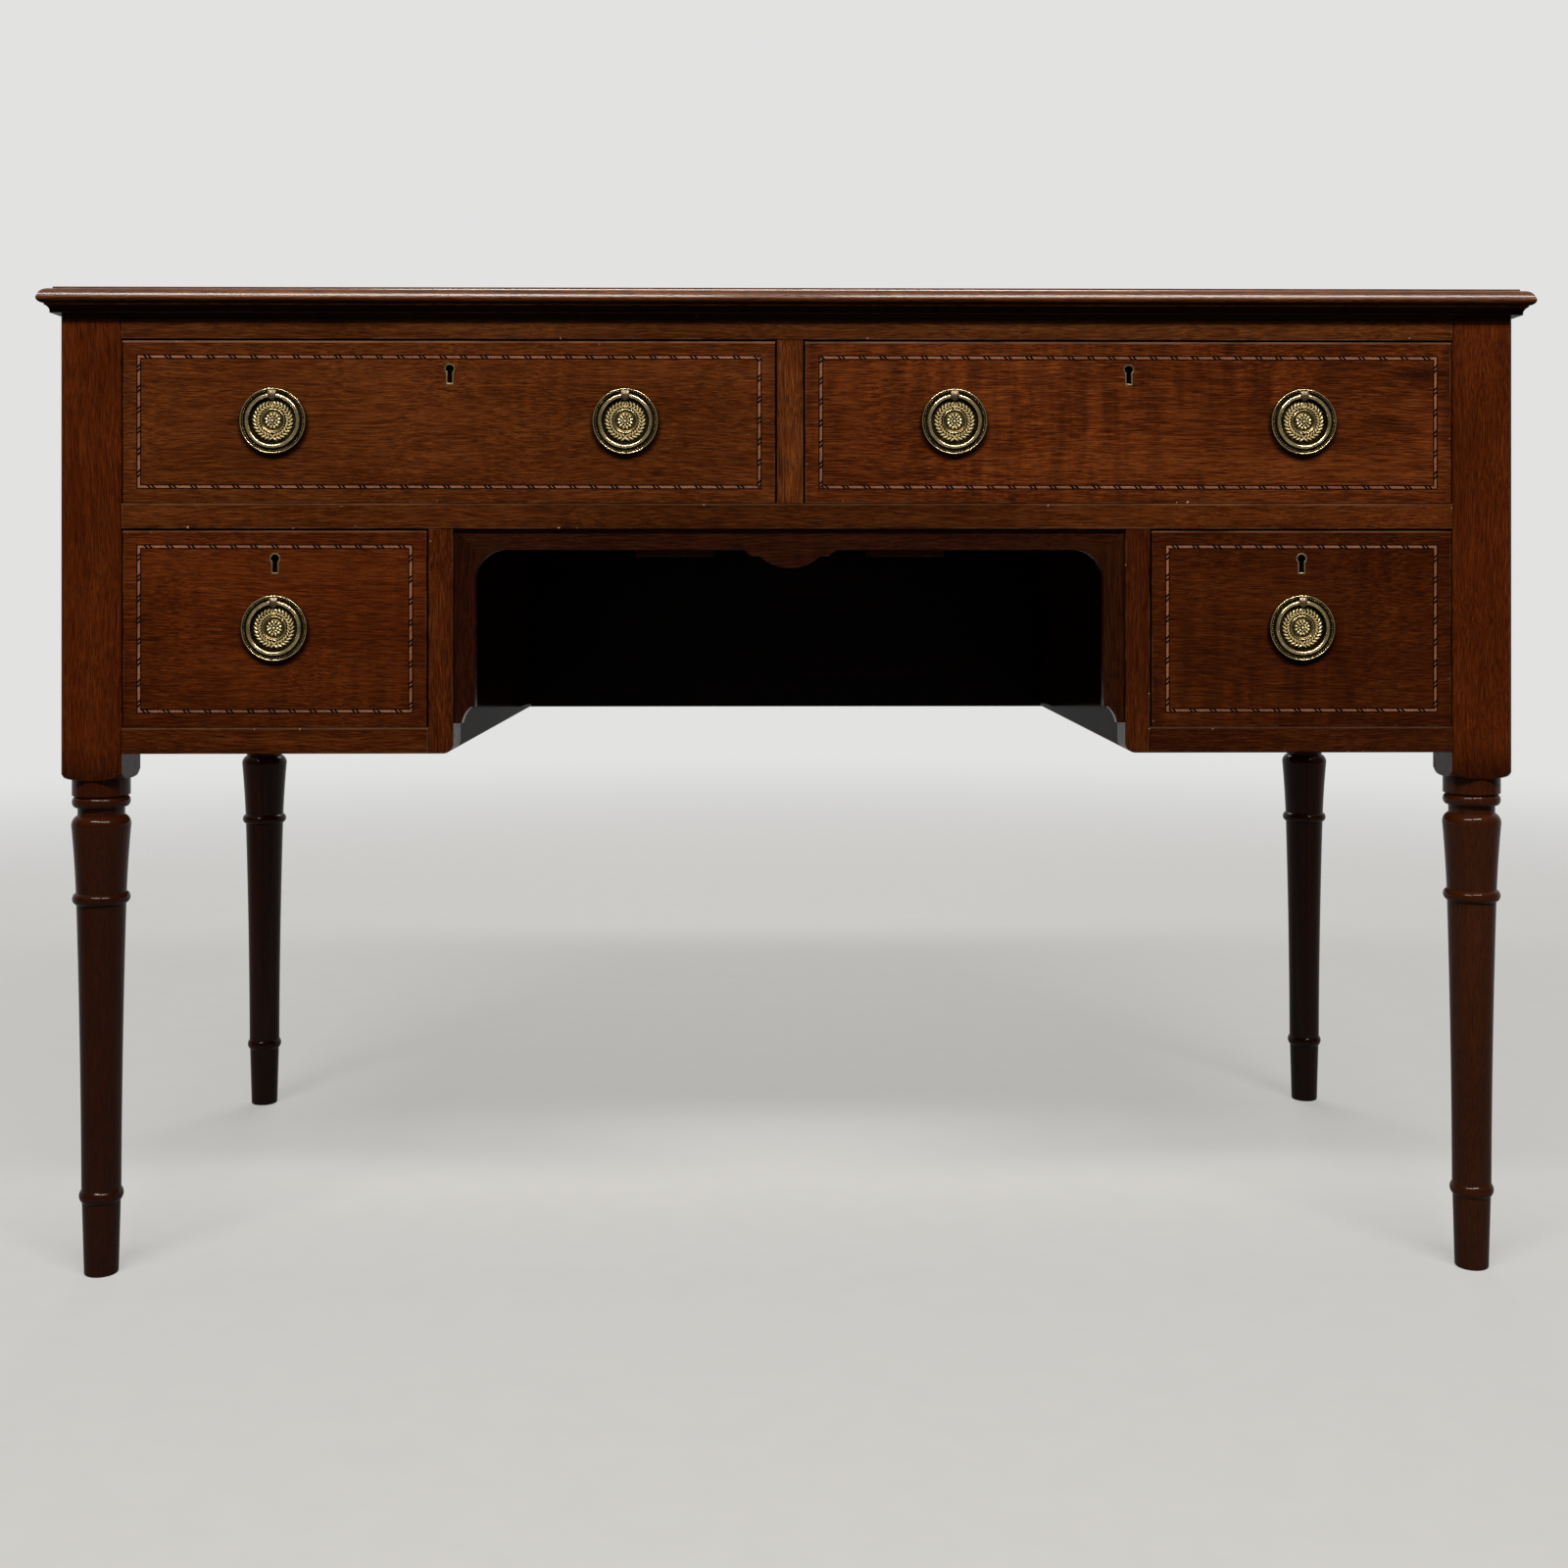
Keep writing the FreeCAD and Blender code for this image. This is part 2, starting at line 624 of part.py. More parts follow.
class Drawer:
    """Dovetailed drawer that fills an opening, with its lock, stringing and brasses."""

    def __init__(self, opening):
        self.opening = opening
        self.left = opening.left + DRAWER_SIDE_GAP
        self.right = opening.right - DRAWER_SIDE_GAP
        self.floor = opening.floor + DRAWER_RUN_GAP
        self.top = opening.top - DRAWER_TOP_GAP
        self.inner_left = self.left + DRAWER_SIDE_THICKNESS
        self.inner_right = self.right - DRAWER_SIDE_THICKNESS
        self.bottom_floor = self.floor + DRAWER_BOTTOM_LIFT
        self.bottom_top = self.bottom_floor + DRAWER_BOTTOM_THICKNESS
        self.back_top = self.top - DRAWER_BACK_DROP
        outer_head_radius = KEYHOLE_HEAD_RADIUS + ESCUTCHEON_WALL
        self.keyhole_z = self.top - KEYHOLE_TOP_DROP - outer_head_radius
        self.keyhole_drop = KEYHOLE_HEIGHT - outer_head_radius

    def tails(self, x0, x1, root, tip, floor, top):
        """Dovetails from a board's end at root out to tip, widening on the way."""
        count = max(LEAST_DOVETAILS, round((top - floor) / DOVETAIL_PITCH))
        pitch = (top - floor) / count
        flare = abs(tip - root) * DOVETAIL_SLOPE
        solids = []
        for index in range(count):
            middle = floor + pitch * (index + 0.5)
            wide = (pitch - DOVETAIL_PIN) / 2
            narrow = wide - flare
            face = outline((root, middle - narrow), [
                ((tip, middle - wide),),
                ((tip, middle + wide),),
                ((root, middle + narrow),),
            ], in_yz)
            piece = face.extrude(Vector(x1 - x0, 0, 0))
            piece.translate(Vector(x0, 0, 0))
            solids.append(piece)
        return solids

    def front_tails(self, x0, x1):
        return self.tails(x0, x1, DRAWER_BACK_FACE_Y, FRONT_Y + DOVETAIL_LAP, self.floor, self.top)

    def back_tails(self, x0, x1):
        root = DRAWER_END_Y - DRAWER_BACK_THICKNESS
        return self.tails(x0, x1, root, DRAWER_END_Y, self.bottom_top, self.back_top)

    def back_block(self):
        front = DRAWER_END_Y - DRAWER_BACK_THICKNESS
        return box(self.left, self.right, front, DRAWER_END_Y, self.bottom_top, self.back_top)

    def side_spans(self):
        return ((self.left, self.inner_left), (self.inner_right, self.right))

    def sides(self):
        solids = []
        groove_left = self.inner_left - BOTTOM_GROOVE_DEPTH
        groove_right = self.inner_right + BOTTOM_GROOVE_DEPTH
        groove = box(
            groove_left, groove_right, DRAWER_BACK_FACE_Y, DRAWER_END_Y, self.bottom_floor, self.bottom_top
        )
        for x0, x1 in self.side_spans():
            board = box(x0, x1, DRAWER_BACK_FACE_Y, DRAWER_END_Y, self.floor, self.top)
            board = board.cut(self.back_block()).cut(groove)
            board = board.fuse(self.front_tails(x0, x1) + self.back_tails(x0, x1))
            solids.append(board.removeSplitter())
        return solids

    def back(self):
        cuts = []
        for x0, x1 in self.side_spans():
            cuts += self.back_tails(x0, x1)
        return self.back_block().cut(cuts)

    def front_groove(self):
        tongue_y = DRAWER_BACK_FACE_Y - BOTTOM_GROOVE_DEPTH
        return box(
            self.inner_left, self.inner_right, tongue_y, DRAWER_BACK_FACE_Y,
            self.bottom_floor, self.bottom_top,
        )

    def bottom(self):
        reach = BOTTOM_GROOVE_DEPTH - BOTTOM_GROOVE_GAP
        panel = box(
            self.inner_left - reach, self.inner_right + reach,
            DRAWER_BACK_FACE_Y, DRAWER_END_Y, self.bottom_floor, self.bottom_top,
        )
        return panel.fuse(self.front_groove()).removeSplitter()

    def stringing(self):
        """Four mitred strips let flush into the front."""
        outer = (
            (self.left + STRING_INSET, self.floor + STRING_INSET),
            (self.right - STRING_INSET, self.floor + STRING_INSET),
            (self.right - STRING_INSET, self.top - STRING_INSET),
            (self.left + STRING_INSET, self.top - STRING_INSET),
        )
        towards = ((1, 1), (-1, 1), (-1, -1), (1, -1))
        inner = [
            (x + STRING_WIDTH * step_x, z + STRING_WIDTH * step_z)
            for (x, z), (step_x, step_z) in zip(outer, towards)
        ]
        strips = []
        for index in range(len(outer)):
            following = (index + 1) % len(outer)
            face = outline(outer[index], [(outer[following],), (inner[following],), (inner[index],)], in_xz)
            strip = face.extrude(Vector(0, STRING_THICKNESS, 0))
            strip.translate(Vector(0, FRONT_Y, 0))
            strips.append(strip)
        return strips

    def lock_block(self):
        half = LOCK_WIDTH / 2
        centre = self.opening.centre_x
        floor = self.top - LOCK_HEIGHT
        return box(centre - half, centre + half, LOCK_FRONT_Y, DRAWER_BACK_FACE_Y, floor, self.top)

    def keyhole_inner(self, front, back):
        drop = self.keyhole_drop - ESCUTCHEON_WALL
        return keyhole(
            self.opening.centre_x, self.keyhole_z, KEYHOLE_HEAD_RADIUS, KEYHOLE_SLOT_WIDTH, drop, front, back
        )

    def keyhole_outer(self):
        radius = KEYHOLE_HEAD_RADIUS + ESCUTCHEON_WALL
        width = KEYHOLE_SLOT_WIDTH + 2 * ESCUTCHEON_WALL
        return keyhole(
            self.opening.centre_x, self.keyhole_z, radius, width, self.keyhole_drop,
            FRONT_Y, FRONT_Y + ESCUTCHEON_DEPTH,
        )

    def escutcheon(self):
        return self.keyhole_outer().cut(self.keyhole_inner(FRONT_Y, FRONT_Y + ESCUTCHEON_DEPTH))

    def lock_case(self):
        """Case let into the back of the front, open above for its bolt and in front for the key."""
        half = LOCK_BOLT_WIDTH / 2 + LOCK_BOLT_GAP
        centre = self.opening.centre_x
        cavity_floor = self.top - LOCK_BOLT_HEIGHT - LOCK_BOLT_GAP
        front = LOCK_FRONT_Y + LOCK_WALL
        back = DRAWER_BACK_FACE_Y - LOCK_WALL
        cavity = box(centre - half, centre + half, front, back, cavity_floor, self.top)
        return self.lock_block().cut([cavity, self.keyhole_inner(LOCK_FRONT_Y, back)])

    def lock_bolt(self):
        half = LOCK_BOLT_WIDTH / 2
        centre = self.opening.centre_x
        floor = self.top - LOCK_BOLT_HEIGHT
        return box(centre - half, centre + half, BOLT_FRONT_Y, BOLT_BACK_Y, floor, self.top)

    def front(self):
        board = box(self.left, self.right, FRONT_Y, DRAWER_BACK_FACE_Y, self.floor, self.top)
        cuts = [self.front_groove(), self.lock_block(), self.keyhole_outer()]
        cuts.append(self.keyhole_inner(FRONT_Y, LOCK_FRONT_Y))
        cuts += self.stringing()
        for x0, x1 in self.side_spans():
            cuts += self.front_tails(x0, x1)
        hole_radius = SHANK_DIAMETER / 2 + SHANK_GAP
        for pull_x in self.opening.rings.values():
            start = Vector(pull_x, FRONT_Y, self.opening.pull_z + RING_RADIUS)
            cuts.append(bar(hole_radius, start, Vector(0, DRAWER_FRONT_THICKNESS, 0)))
        return board.cut(cuts)

    def brasses(self):
        solids = [self.escutcheon()]
        for pull_x in self.opening.rings.values():
            for piece in (pull_plate(), pull_bolt(), pull_nut()):
                solids.append(on_front(piece, pull_x, self.opening.pull_z))
        return solids


def on_front(piece, x, z):
    """Stand a pull's piece, modelled flat with its face up, on the drawer front."""
    stood = piece.copy()
    stood.rotate(Vector(0, 0, 0), Vector(1, 0, 0), 90)
    stood.translate(Vector(x, FRONT_Y, z))
    return stood


def pull_plate():
    """Round plate with a raised rim, a channel for the ring, a wreath band and a rosette."""
    rim_inner = PLATE_RADIUS - PLATE_RIM_WIDTH
    wreath_mid = (WREATH_OUTER_RADIUS + WREATH_INNER_RADIUS) / 2
    plate = turned((PLATE_RADIUS, 0), [
        ((PLATE_RADIUS, PLATE_RIM_HEIGHT),),
        ((rim_inner, PLATE_RIM_HEIGHT),),
        ((rim_inner, PLATE_BASE),),
        ((WREATH_OUTER_RADIUS, PLATE_BASE),),
        ((wreath_mid, WREATH_HEIGHT),),
        ((WREATH_INNER_RADIUS, DISH_FLOOR),),
        ((ROSETTE_RADIUS, DISH_FLOOR),),
        ((ROSETTE_BOSS_RADIUS, ROSETTE_BOSS_HEIGHT),),
    ])
    hole_start = Vector(0, RING_RADIUS, 0)
    return plate.cut(bar(SHANK_DIAMETER / 2 + SHANK_GAP, hole_start, Vector(0, 0, PLATE_BASE)))


def pull_bolt():
    """Bolt that holds the plate, with a pierced head in which the ring turns."""
    half = KNUCKLE_HEIGHT / 2
    low = RING_RADIUS - half
    high = RING_RADIUS + half
    bend = half * math.sqrt(0.5)
    face = outline((low, PLATE_BASE), [
        ((low, RING_LIFT),),
        ((RING_RADIUS - bend, RING_LIFT + bend),),
        ((RING_RADIUS, RING_LIFT + half),),
        ((RING_RADIUS + bend, RING_LIFT + bend),),
        ((high, RING_LIFT),),
        ((high, PLATE_BASE),),
    ], in_yz)
    width = Vector(KNUCKLE_WIDTH, 0, 0)
    head = face.extrude(width)
    head.translate(width * -0.5)
    eye = bar(PIVOT_DIAMETER / 2 + PIVOT_GAP, Vector(-KNUCKLE_WIDTH / 2, RING_RADIUS, RING_LIFT), width)
    foot = -(DRAWER_FRONT_THICKNESS + NUT_THICKNESS + SHANK_END)
    shank = bar(SHANK_DIAMETER / 2, Vector(0, RING_RADIUS, foot), Vector(0, 0, PLATE_BASE - foot))
    return head.cut(eye).fuse(shank).removeSplitter()


def pull_nut():
    """Six-sided nut on the bolt, inside the drawer."""
    height = Vector(0, 0, NUT_THICKNESS)
    nut = flat(loop(NUT_DIAMETER / 2, 0, NUT_SIDES)).extrude(height)
    nut = nut.cut(bar(SHANK_DIAMETER / 2 + SHANK_GAP, Vector(0, 0, 0), height))
    nut.translate(Vector(0, RING_RADIUS, -DRAWER_FRONT_THICKNESS - NUT_THICKNESS))
    return nut


def ring_section(turn):
    """Corners of the ring's cross-section, turned about the ring's axis from its top."""
    corner = RING_THICKNESS / 2 / math.cos(math.pi / RING_SECTION_SIDES)
    corners = []
    for index in range(RING_SECTION_SIDES):
        angle = 2 * math.pi * (index + 0.5) / RING_SECTION_SIDES
        radius = RING_RADIUS + corner * math.cos(angle)
        height = RING_LIFT + corner * math.sin(angle)
        corners.append(Vector(radius * math.sin(turn), radius * math.cos(turn), height))
    return corners


def pull_ring():
    """Ring that closes on a straight round pivot through the bolt's head."""
    turns = [2 * math.pi * index / RING_SIDES for index in range(RING_SIDES)]
    ring = skin([ring_section(turn) for turn in turns], True)
    gap = KNUCKLE_WIDTH / 2 + KNUCKLE_SIDE_GAP
    window = box(-gap, gap, RING_RADIUS - RING_THICKNESS, RING_RADIUS + RING_THICKNESS, 0, 2 * RING_LIFT)
    reach = gap + PIVOT_BITE
    start = Vector(-reach, RING_RADIUS, RING_LIFT)
    pivot = Part.makeCylinder(PIVOT_DIAMETER / 2, 2 * reach, start, Vector(1, 0, 0))
    return ring.cut(window).fuse(pivot).removeSplitter()


def drawer_openings():
    """The four openings of the carcass."""
    near_x = MUNTIN_X + DRAWER_SIDE_GAP + PULL_END_OFFSET
    far_x = POST_INNER_X - DRAWER_SIDE_GAP - PULL_END_OFFSET
    low_x = (PARTITION_X + POST_INNER_X) / 2
    upper = (UPPER_OPENING_FLOOR, UPPER_OPENING_TOP)
    lower = (LOWER_OPENING_FLOOR, LOWER_OPENING_TOP)
    upper_left_rings = {"upper_left_outer_ring": -far_x, "upper_left_inner_ring": -near_x}
    upper_right_rings = {"upper_right_inner_ring": near_x, "upper_right_outer_ring": far_x}
    return [
        Opening("upper_left_drawer", -POST_INNER_X, -MUNTIN_X, *upper, upper_left_rings),
        Opening("upper_right_drawer", MUNTIN_X, POST_INNER_X, *upper, upper_right_rings),
        Opening("lower_left_drawer", -POST_INNER_X, -PARTITION_X, *lower, {"lower_left_ring": -low_x}),
        Opening("lower_right_drawer", PARTITION_X, POST_INNER_X, *lower, {"lower_right_ring": low_x}),
    ]


def export_carcass(openings):
    upper_locks = [opening.centre_x for opening in openings if opening.top == UPPER_OPENING_TOP]
    lower_locks = [opening.centre_x for opening in openings if opening.top == LOWER_OPENING_TOP]
    kneehole_panel = partition(UPRIGHT_BACK_Y, BACK_PANEL_INNER_Y)
    export("table_top", [table_top()])
    export("writing_leather", [writing_leather()])
    export("front_left_leg", [placed_leg(-1, -1)])
    export("front_right_leg", [placed_leg(1, -1)])
    export("back_left_leg", [placed_leg(-1, 1)])
    export("back_right_leg", [placed_leg(1, 1)])
    export("left_end_panel", [mirrored(end_panel())])
    export("right_end_panel", [end_panel()])
    export("back_panel", [back_panel()])
    export("top_front_rail", [front_rail(UPPER_OPENING_TOP, CARCASS_TOP, upper_locks)])
    export("middle_front_rail", [front_rail(LOWER_OPENING_TOP, UPPER_OPENING_FLOOR, lower_locks)])
    export("lower_front_rails", pair(lower_rail()))
    export("upper_muntin", [muntin()])
    export("kneehole_stiles", pair(partition(FRONT_Y, UPRIGHT_BACK_Y)))
    export("left_kneehole_panel", [mirrored(kneehole_panel)])
    export("right_kneehole_panel", [kneehole_panel])
    export("kneehole_apron", [kneehole_apron()])
    export("apron_returns", pair(apron_return()))
    export("apron_glue_blocks", pair(glue_block()))
    export("drawer_runners", drawer_runners())
    export("drawer_kickers", drawer_kickers())
    export("drawer_stops", drawer_stops(openings))


def export_drawer(opening):
    drawer = Drawer(opening)
    export(opening.name + "_front", [drawer.front()])
    export(opening.name + "_sides", drawer.sides())
    export(opening.name + "_back", [drawer.back()])
    export(opening.name + "_bottom", [drawer.bottom()])
    export(opening.name + "_stringing", drawer.stringing())
    export(opening.name + "_lock_case", [drawer.lock_case()])
    export(opening.name + "_lock_bolt", [drawer.lock_bolt()])
    export(opening.name + "_brasses", drawer.brasses())
    for node, ring_x in opening.rings.items():
        export(node, [on_front(pull_ring(), ring_x, opening.pull_z)])


os.makedirs("parts", exist_ok=True)
all_openings = drawer_openings()
export_carcass(all_openings)
for each_opening in all_openings:
    export_drawer(each_opening)
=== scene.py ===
"""Looks of the kneehole writing table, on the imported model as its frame. Lengths are in metres."""
import math
import random

import bpy
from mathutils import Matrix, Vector


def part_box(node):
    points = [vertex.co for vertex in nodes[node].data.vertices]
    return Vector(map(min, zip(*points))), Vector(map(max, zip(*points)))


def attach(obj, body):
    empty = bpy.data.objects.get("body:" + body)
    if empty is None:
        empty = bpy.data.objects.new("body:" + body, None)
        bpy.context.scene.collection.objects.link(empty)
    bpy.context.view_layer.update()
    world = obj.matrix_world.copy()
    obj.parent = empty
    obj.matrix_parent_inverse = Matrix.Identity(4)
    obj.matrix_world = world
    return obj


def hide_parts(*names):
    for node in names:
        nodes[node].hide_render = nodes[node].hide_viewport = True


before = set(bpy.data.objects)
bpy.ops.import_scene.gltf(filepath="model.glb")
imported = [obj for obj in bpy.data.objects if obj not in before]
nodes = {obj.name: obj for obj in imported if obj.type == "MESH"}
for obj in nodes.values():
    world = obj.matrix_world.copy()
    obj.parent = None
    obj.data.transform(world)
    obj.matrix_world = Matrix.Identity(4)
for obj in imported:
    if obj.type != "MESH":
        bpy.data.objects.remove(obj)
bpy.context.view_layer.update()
scene = bpy.context.scene

MM = 0.001
X, Y, Z = 0, 1, 2
FULL_TURN = 2 * math.pi
RELIEF = "relief"


def opaque(colour):
    return (*colour, 1.0)


def placed(name, data):
    """New object in the scene."""
    piece = bpy.data.objects.new(name, data)
    scene.collection.objects.link(piece)
    return piece


class Graph:
    """Node tree of a material or of the world, with short calls for the nodes that are used here."""

    def __init__(self, owner, output):
        owner.use_nodes = True
        self.tree = owner.node_tree
        self.tree.nodes.clear()
        self.output = self.new(output)
        self.coordinates = self.new("TexCoord").outputs

    def new(self, kind, **settings):
        node = self.tree.nodes.new("ShaderNode" + kind)
        for key, value in settings.items():
            setattr(node, key, value)
        return node

    def put(self, socket, value):
        """Links a socket to another one, or gives it a plain value."""
        if isinstance(value, bpy.types.NodeSocket):
            self.tree.links.new(value, socket)
        else:
            socket.default_value = value

    def fill(self, node, **values):
        """Fills a node's sockets, named with _ for each space."""
        for key, value in values.items():
            self.put(node.inputs[key.replace("_", " ")], value)

    def computed(self, kind, operation, values):
        node = self.new(kind, operation=operation)
        for socket, value in zip(node.inputs, values):
            self.put(socket, value)
        return node

    def math(self, operation, *values):
        return self.computed("Math", operation, values).outputs[0]

    def vector(self, operation, *values):
        return self.computed("VectorMath", operation, values).outputs[0]

    def length(self, place):
        return self.computed("VectorMath", "LENGTH", (place,)).outputs["Value"]

    def scaled(self, value, factor):
        """A colour or a vector times a number."""
        node = self.new("VectorMath", operation="SCALE")
        self.fill(node, Vector=value, Scale=factor)
        return node.outputs[0]

    def total(self, *shares):
        """Sum of values, each times its share."""
        whole = None
        for value, share in shares:
            part = self.math("MULTIPLY", value, share)
            whole = part if whole is None else self.math("ADD", whole, part)
        return whole

    def away(self, value, middle):
        """How far a value is from a middle, to either side."""
        return self.math("ABSOLUTE", self.math("SUBTRACT", value, middle))

    def from_ends(self, value, low, high):
        """How far a value is inside the nearer of two ends."""
        return self.math("MINIMUM", self.math("SUBTRACT", value, low), self.math("SUBTRACT", high, value))

    def parts(self, place):
        node = self.new("SeparateXYZ")
        self.put(node.inputs[0], place)
        return node.outputs

    def mix(self, factor, first, second):
        node = self.new("Mix", data_type="RGBA")
        colours = [socket for socket in node.inputs if socket.type == "RGBA"]
        self.put(node.inputs[0], factor)
        self.put(colours[0], first)
        self.put(colours[1], second)
        return [socket for socket in node.outputs if socket.type == "RGBA"][0]

    def noise(self, place, scale, detail=3.0, rough=0.5, colour=False):
        node = self.new("TexNoise")
        self.fill(node, Vector=place, Scale=scale, Detail=detail, Roughness=rough)
        return node.outputs[1 if colour else 0]

    def layer(self, place, grain, along, across, detail, rough):
        """Noise that is drawn out along the grain."""
        scale = [across, across, across]
        scale[grain] = along
        return self.noise(self.vector("MULTIPLY", place, scale), 1.0, detail, rough)

    def cells(self, place, scale, feature="F1"):
        node = self.new("TexVoronoi", feature=feature)
        self.fill(node, Vector=place, Scale=scale)
        return node.outputs["Distance"]

    def step(self, value, low, high, start=0.0, end=1.0, kind="SMOOTHSTEP"):
        """Goes from start to end as value goes from low to high."""
        node = self.new("MapRange", interpolation_type=kind)
        self.fill(node, Value=value, From_Min=low, From_Max=high, To_Min=start, To_Max=end)
        return node.outputs[0]

    def ramp(self, value, *stops):
        """Colours along a value; each stop is a place and a colour."""
        node = self.new("ValToRGB")
        self.put(node.inputs[0], value)
        elements = node.color_ramp.elements
        while len(elements) < len(stops):
            elements.new(1.0)
        for element, (place, colour) in zip(elements, stops):
            element.position = place
            element.color = opaque(colour)
        return node.outputs[0]

    def seen(self, reflected):
        """1 for the camera, and for reflections as much as reflected says."""
        path = self.new("LightPath").outputs
        mirrored = self.math("MAXIMUM", path["Is Glossy Ray"], path["Is Transmission Ray"])
        return self.math("MAXIMUM", path["Is Camera Ray"], self.math("MULTIPLY", mirrored, reflected))

    def show_mixed(self, factor, first, second):
        """Sends a mix of two shaders to the output."""
        blend = self.new("MixShader")
        for socket, value in zip(blend.inputs, (factor, first, second)):
            self.put(socket, value)
        self.put(self.output.inputs[0], blend.outputs[0])


class Surface(Graph):
    """Node tree of one material, with its principled shader."""

    def __init__(self, name):
        self.material = bpy.data.materials.new(name)
        super().__init__(self.material, "OutputMaterial")
        self.shader = self.new("BsdfPrincipled")
        self.put(self.output.inputs[0], self.shader.outputs[0])
        self.place = self.coordinates["Object"]

    def set(self, **values):
        self.fill(self.shader, **values)

    def bump(self, height, distance, strength):
        node = self.new("Bump")
        self.fill(node, Height=height, Distance=distance, Strength=strength)
        self.set(Normal=node.outputs[0])

    def attribute(self, name):
        return self.new("Attribute", attribute_name=name).outputs["Fac"]


class Timber:
    """How one kind of wood looks: three tones, the darkness of its pores and its polish."""

    def __init__(self, dark, middle, light, pore, worn, rough, specular, coat, gloss=0.10):
        self.dark = dark
        self.middle = middle
        self.light = light
        self.pore = pore
        self.worn = worn
        self.rough = rough
        self.specular = specular
        self.coat = coat
        self.gloss = gloss

    def but(self, **changes):
        """The same wood with some of its values changed."""
        return Timber(**{**vars(self), **changes})

    def tinted(self, factor, green=1.0, blue=1.0):
        """The same wood, darker or lighter all over, and redder where green and blue are under 1."""
        change = (factor, factor * green, factor * blue)
        tones = {}
        for name in ("dark", "middle", "light"):
            tones[name] = tuple(channel * part for channel, part in zip(getattr(self, name), change))
        return self.but(**tones)


MAHOGANY = Timber(
    dark=(0.030, 0.0056, 0.0008), middle=(0.071, 0.0152, 0.0021), light=(0.128, 0.0365, 0.0076),
    pore=(0.008, 0.0016, 0.0004), worn=(0.20, 0.090, 0.042), rough=0.30, specular=0.05, coat=0.03,
)
SHADED_MAHOGANY = Timber(
    dark=(0.019, 0.0038, 0.0010), middle=(0.034, 0.0070, 0.0018), light=(0.056, 0.0140, 0.0040),
    pore=(0.008, 0.0016, 0.0005), worn=(0.14, 0.060, 0.028), rough=0.24, specular=0.06, coat=0.05,
)
# Near-black mahogany of the kneehole's inner walls: painted shade of the recess
KNEEHOLE_SHADE_MAHOGANY = Timber(
    dark=(0.005, 0.0014, 0.0004), middle=(0.009, 0.0027, 0.0008), light=(0.016, 0.0050, 0.0016),
    pore=(0.002, 0.0006, 0.0002), worn=(0.05, 0.022, 0.010), rough=0.38, specular=0.0, coat=0.09,
)
TOP_MAHOGANY = Timber(
    dark=(0.044, 0.0120, 0.0030), middle=(0.096, 0.0290, 0.0078), light=(0.164, 0.0590, 0.0185),
    pore=(0.010, 0.0024, 0.0008), worn=(0.26, 0.150, 0.090), rough=0.34, specular=0.17, coat=0.20, gloss=0.07,
)
TURNED_MAHOGANY = Timber(
    dark=(0.0150, 0.0028, 0.0005), middle=(0.0220, 0.0040, 0.0006), light=(0.0320, 0.0062, 0.0011),
    pore=(0.0060, 0.0012, 0.0003), worn=(0.12, 0.050, 0.024),
    rough=0.24, specular=0.02, coat=0.22, gloss=0.06,
)
OAK = Timber(
    dark=(0.150, 0.082, 0.034), middle=(0.235, 0.140, 0.062), light=(0.320, 0.205, 0.100),
    pore=(0.085, 0.043, 0.018), worn=(0.42, 0.30, 0.17), rough=0.62, specular=0.20, coat=0.0,
)

# Grain of a board: how fine each layer of noise is along and across it
FIGURE = dict(along=3.2, across=24.0, detail=4.0, rough=0.6)
STREAK = dict(along=6.0, across=560.0, detail=4.0, rough=0.66)
FIBRE = dict(along=48.0, across=1850.0, detail=3.0, rough=0.70)
FLECK = dict(along=110.0, across=1900.0, detail=2.0, rough=0.5)
CURL = dict(along=95.0, across=14.0, detail=2.0, rough=0.5)
FIGURE_SHARE = 0.18
STREAK_SHARE = 0.18
FIBRE_SHARE = 0.64
TONE_MIDDLE = 0.50
TONE_SPREAD = 0.086
LIGHT_SPREAD = 1.1
MOST_SHIFT = 9.0
SWAY = dict(scale=4.5, detail=2.0, rough=0.5)
SWAY_REACH = 0.022
CLOUD = dict(scale=9.0, detail=3.0, rough=0.55)
CURL_ZONE = dict(scale=5.0, detail=1.0)
CURL_RANGE = (0.42, 0.62)
CLOUD_LIGHT = (0.86, 1.14)
PORE_RANGE = (0.53, 0.67)
PORE_DARKNESS = 0.64
PORE_ROUGHNESS = 0.18
STREAK_RELIEF = 0.25
GRAIN_DEPTH = 0.06 * MM
GRAIN_STRENGTH = 0.5

# Wear and dirt of a board, with painted shade near its edges and round its plates, and a painted highlight
# along its upper arris
# Darker near each edge of a board: grime, and painted shade where the board meets other parts
EDGE_DIRT_AND_SHADE_REACH = 9 * MM
EDGE_DIRT_AND_SHADE = 0.80
RUBBED_PATCHES = dict(scale=30.0, detail=4.0, rough=0.62)
RUBBED_RANGE = (0.44, 0.62)
CHIPS = dict(scale=240.0, detail=2.0, rough=0.5)
CHIP_RANGE = (0.73, 0.76)
CHIP_COLOUR = (0.42, 0.27, 0.18)
# Dark line at the very edge: dark joints, and painted shadow in the gaps between parts
EDGE_SHADE = 0.30
# Painted highlight along a board's upper arris, broken up
LIP_BREAKS = dict(scale=16.0, detail=4.0, rough=0.6)
LIP_RANGE = (0.36, 0.58)
LEAST_LIP = 0.35
STAIN_SWAY = 3.0
# Dark rings round the plates: dirt, and painted shadow below the plates
HALO_WIDTH = 4 * MM
HALO_SHADE = 0.28


def edge_distance(graph, low, high, mirrored):
    """Distance along the surface of a box to the nearest of its edges."""
    place = graph.vector("ABSOLUTE", graph.place) if mirrored else graph.place
    from_low = graph.vector("SUBTRACT", place, low)
    from_high = graph.vector("SUBTRACT", high, place)
    a, b, c = graph.parts(graph.vector("MINIMUM", from_low, from_high))
    least = graph.math("MINIMUM", a, b)
    most = graph.math("MAXIMUM", a, b)
    return graph.math("MAXIMUM", least, graph.math("MINIMUM", most, c))


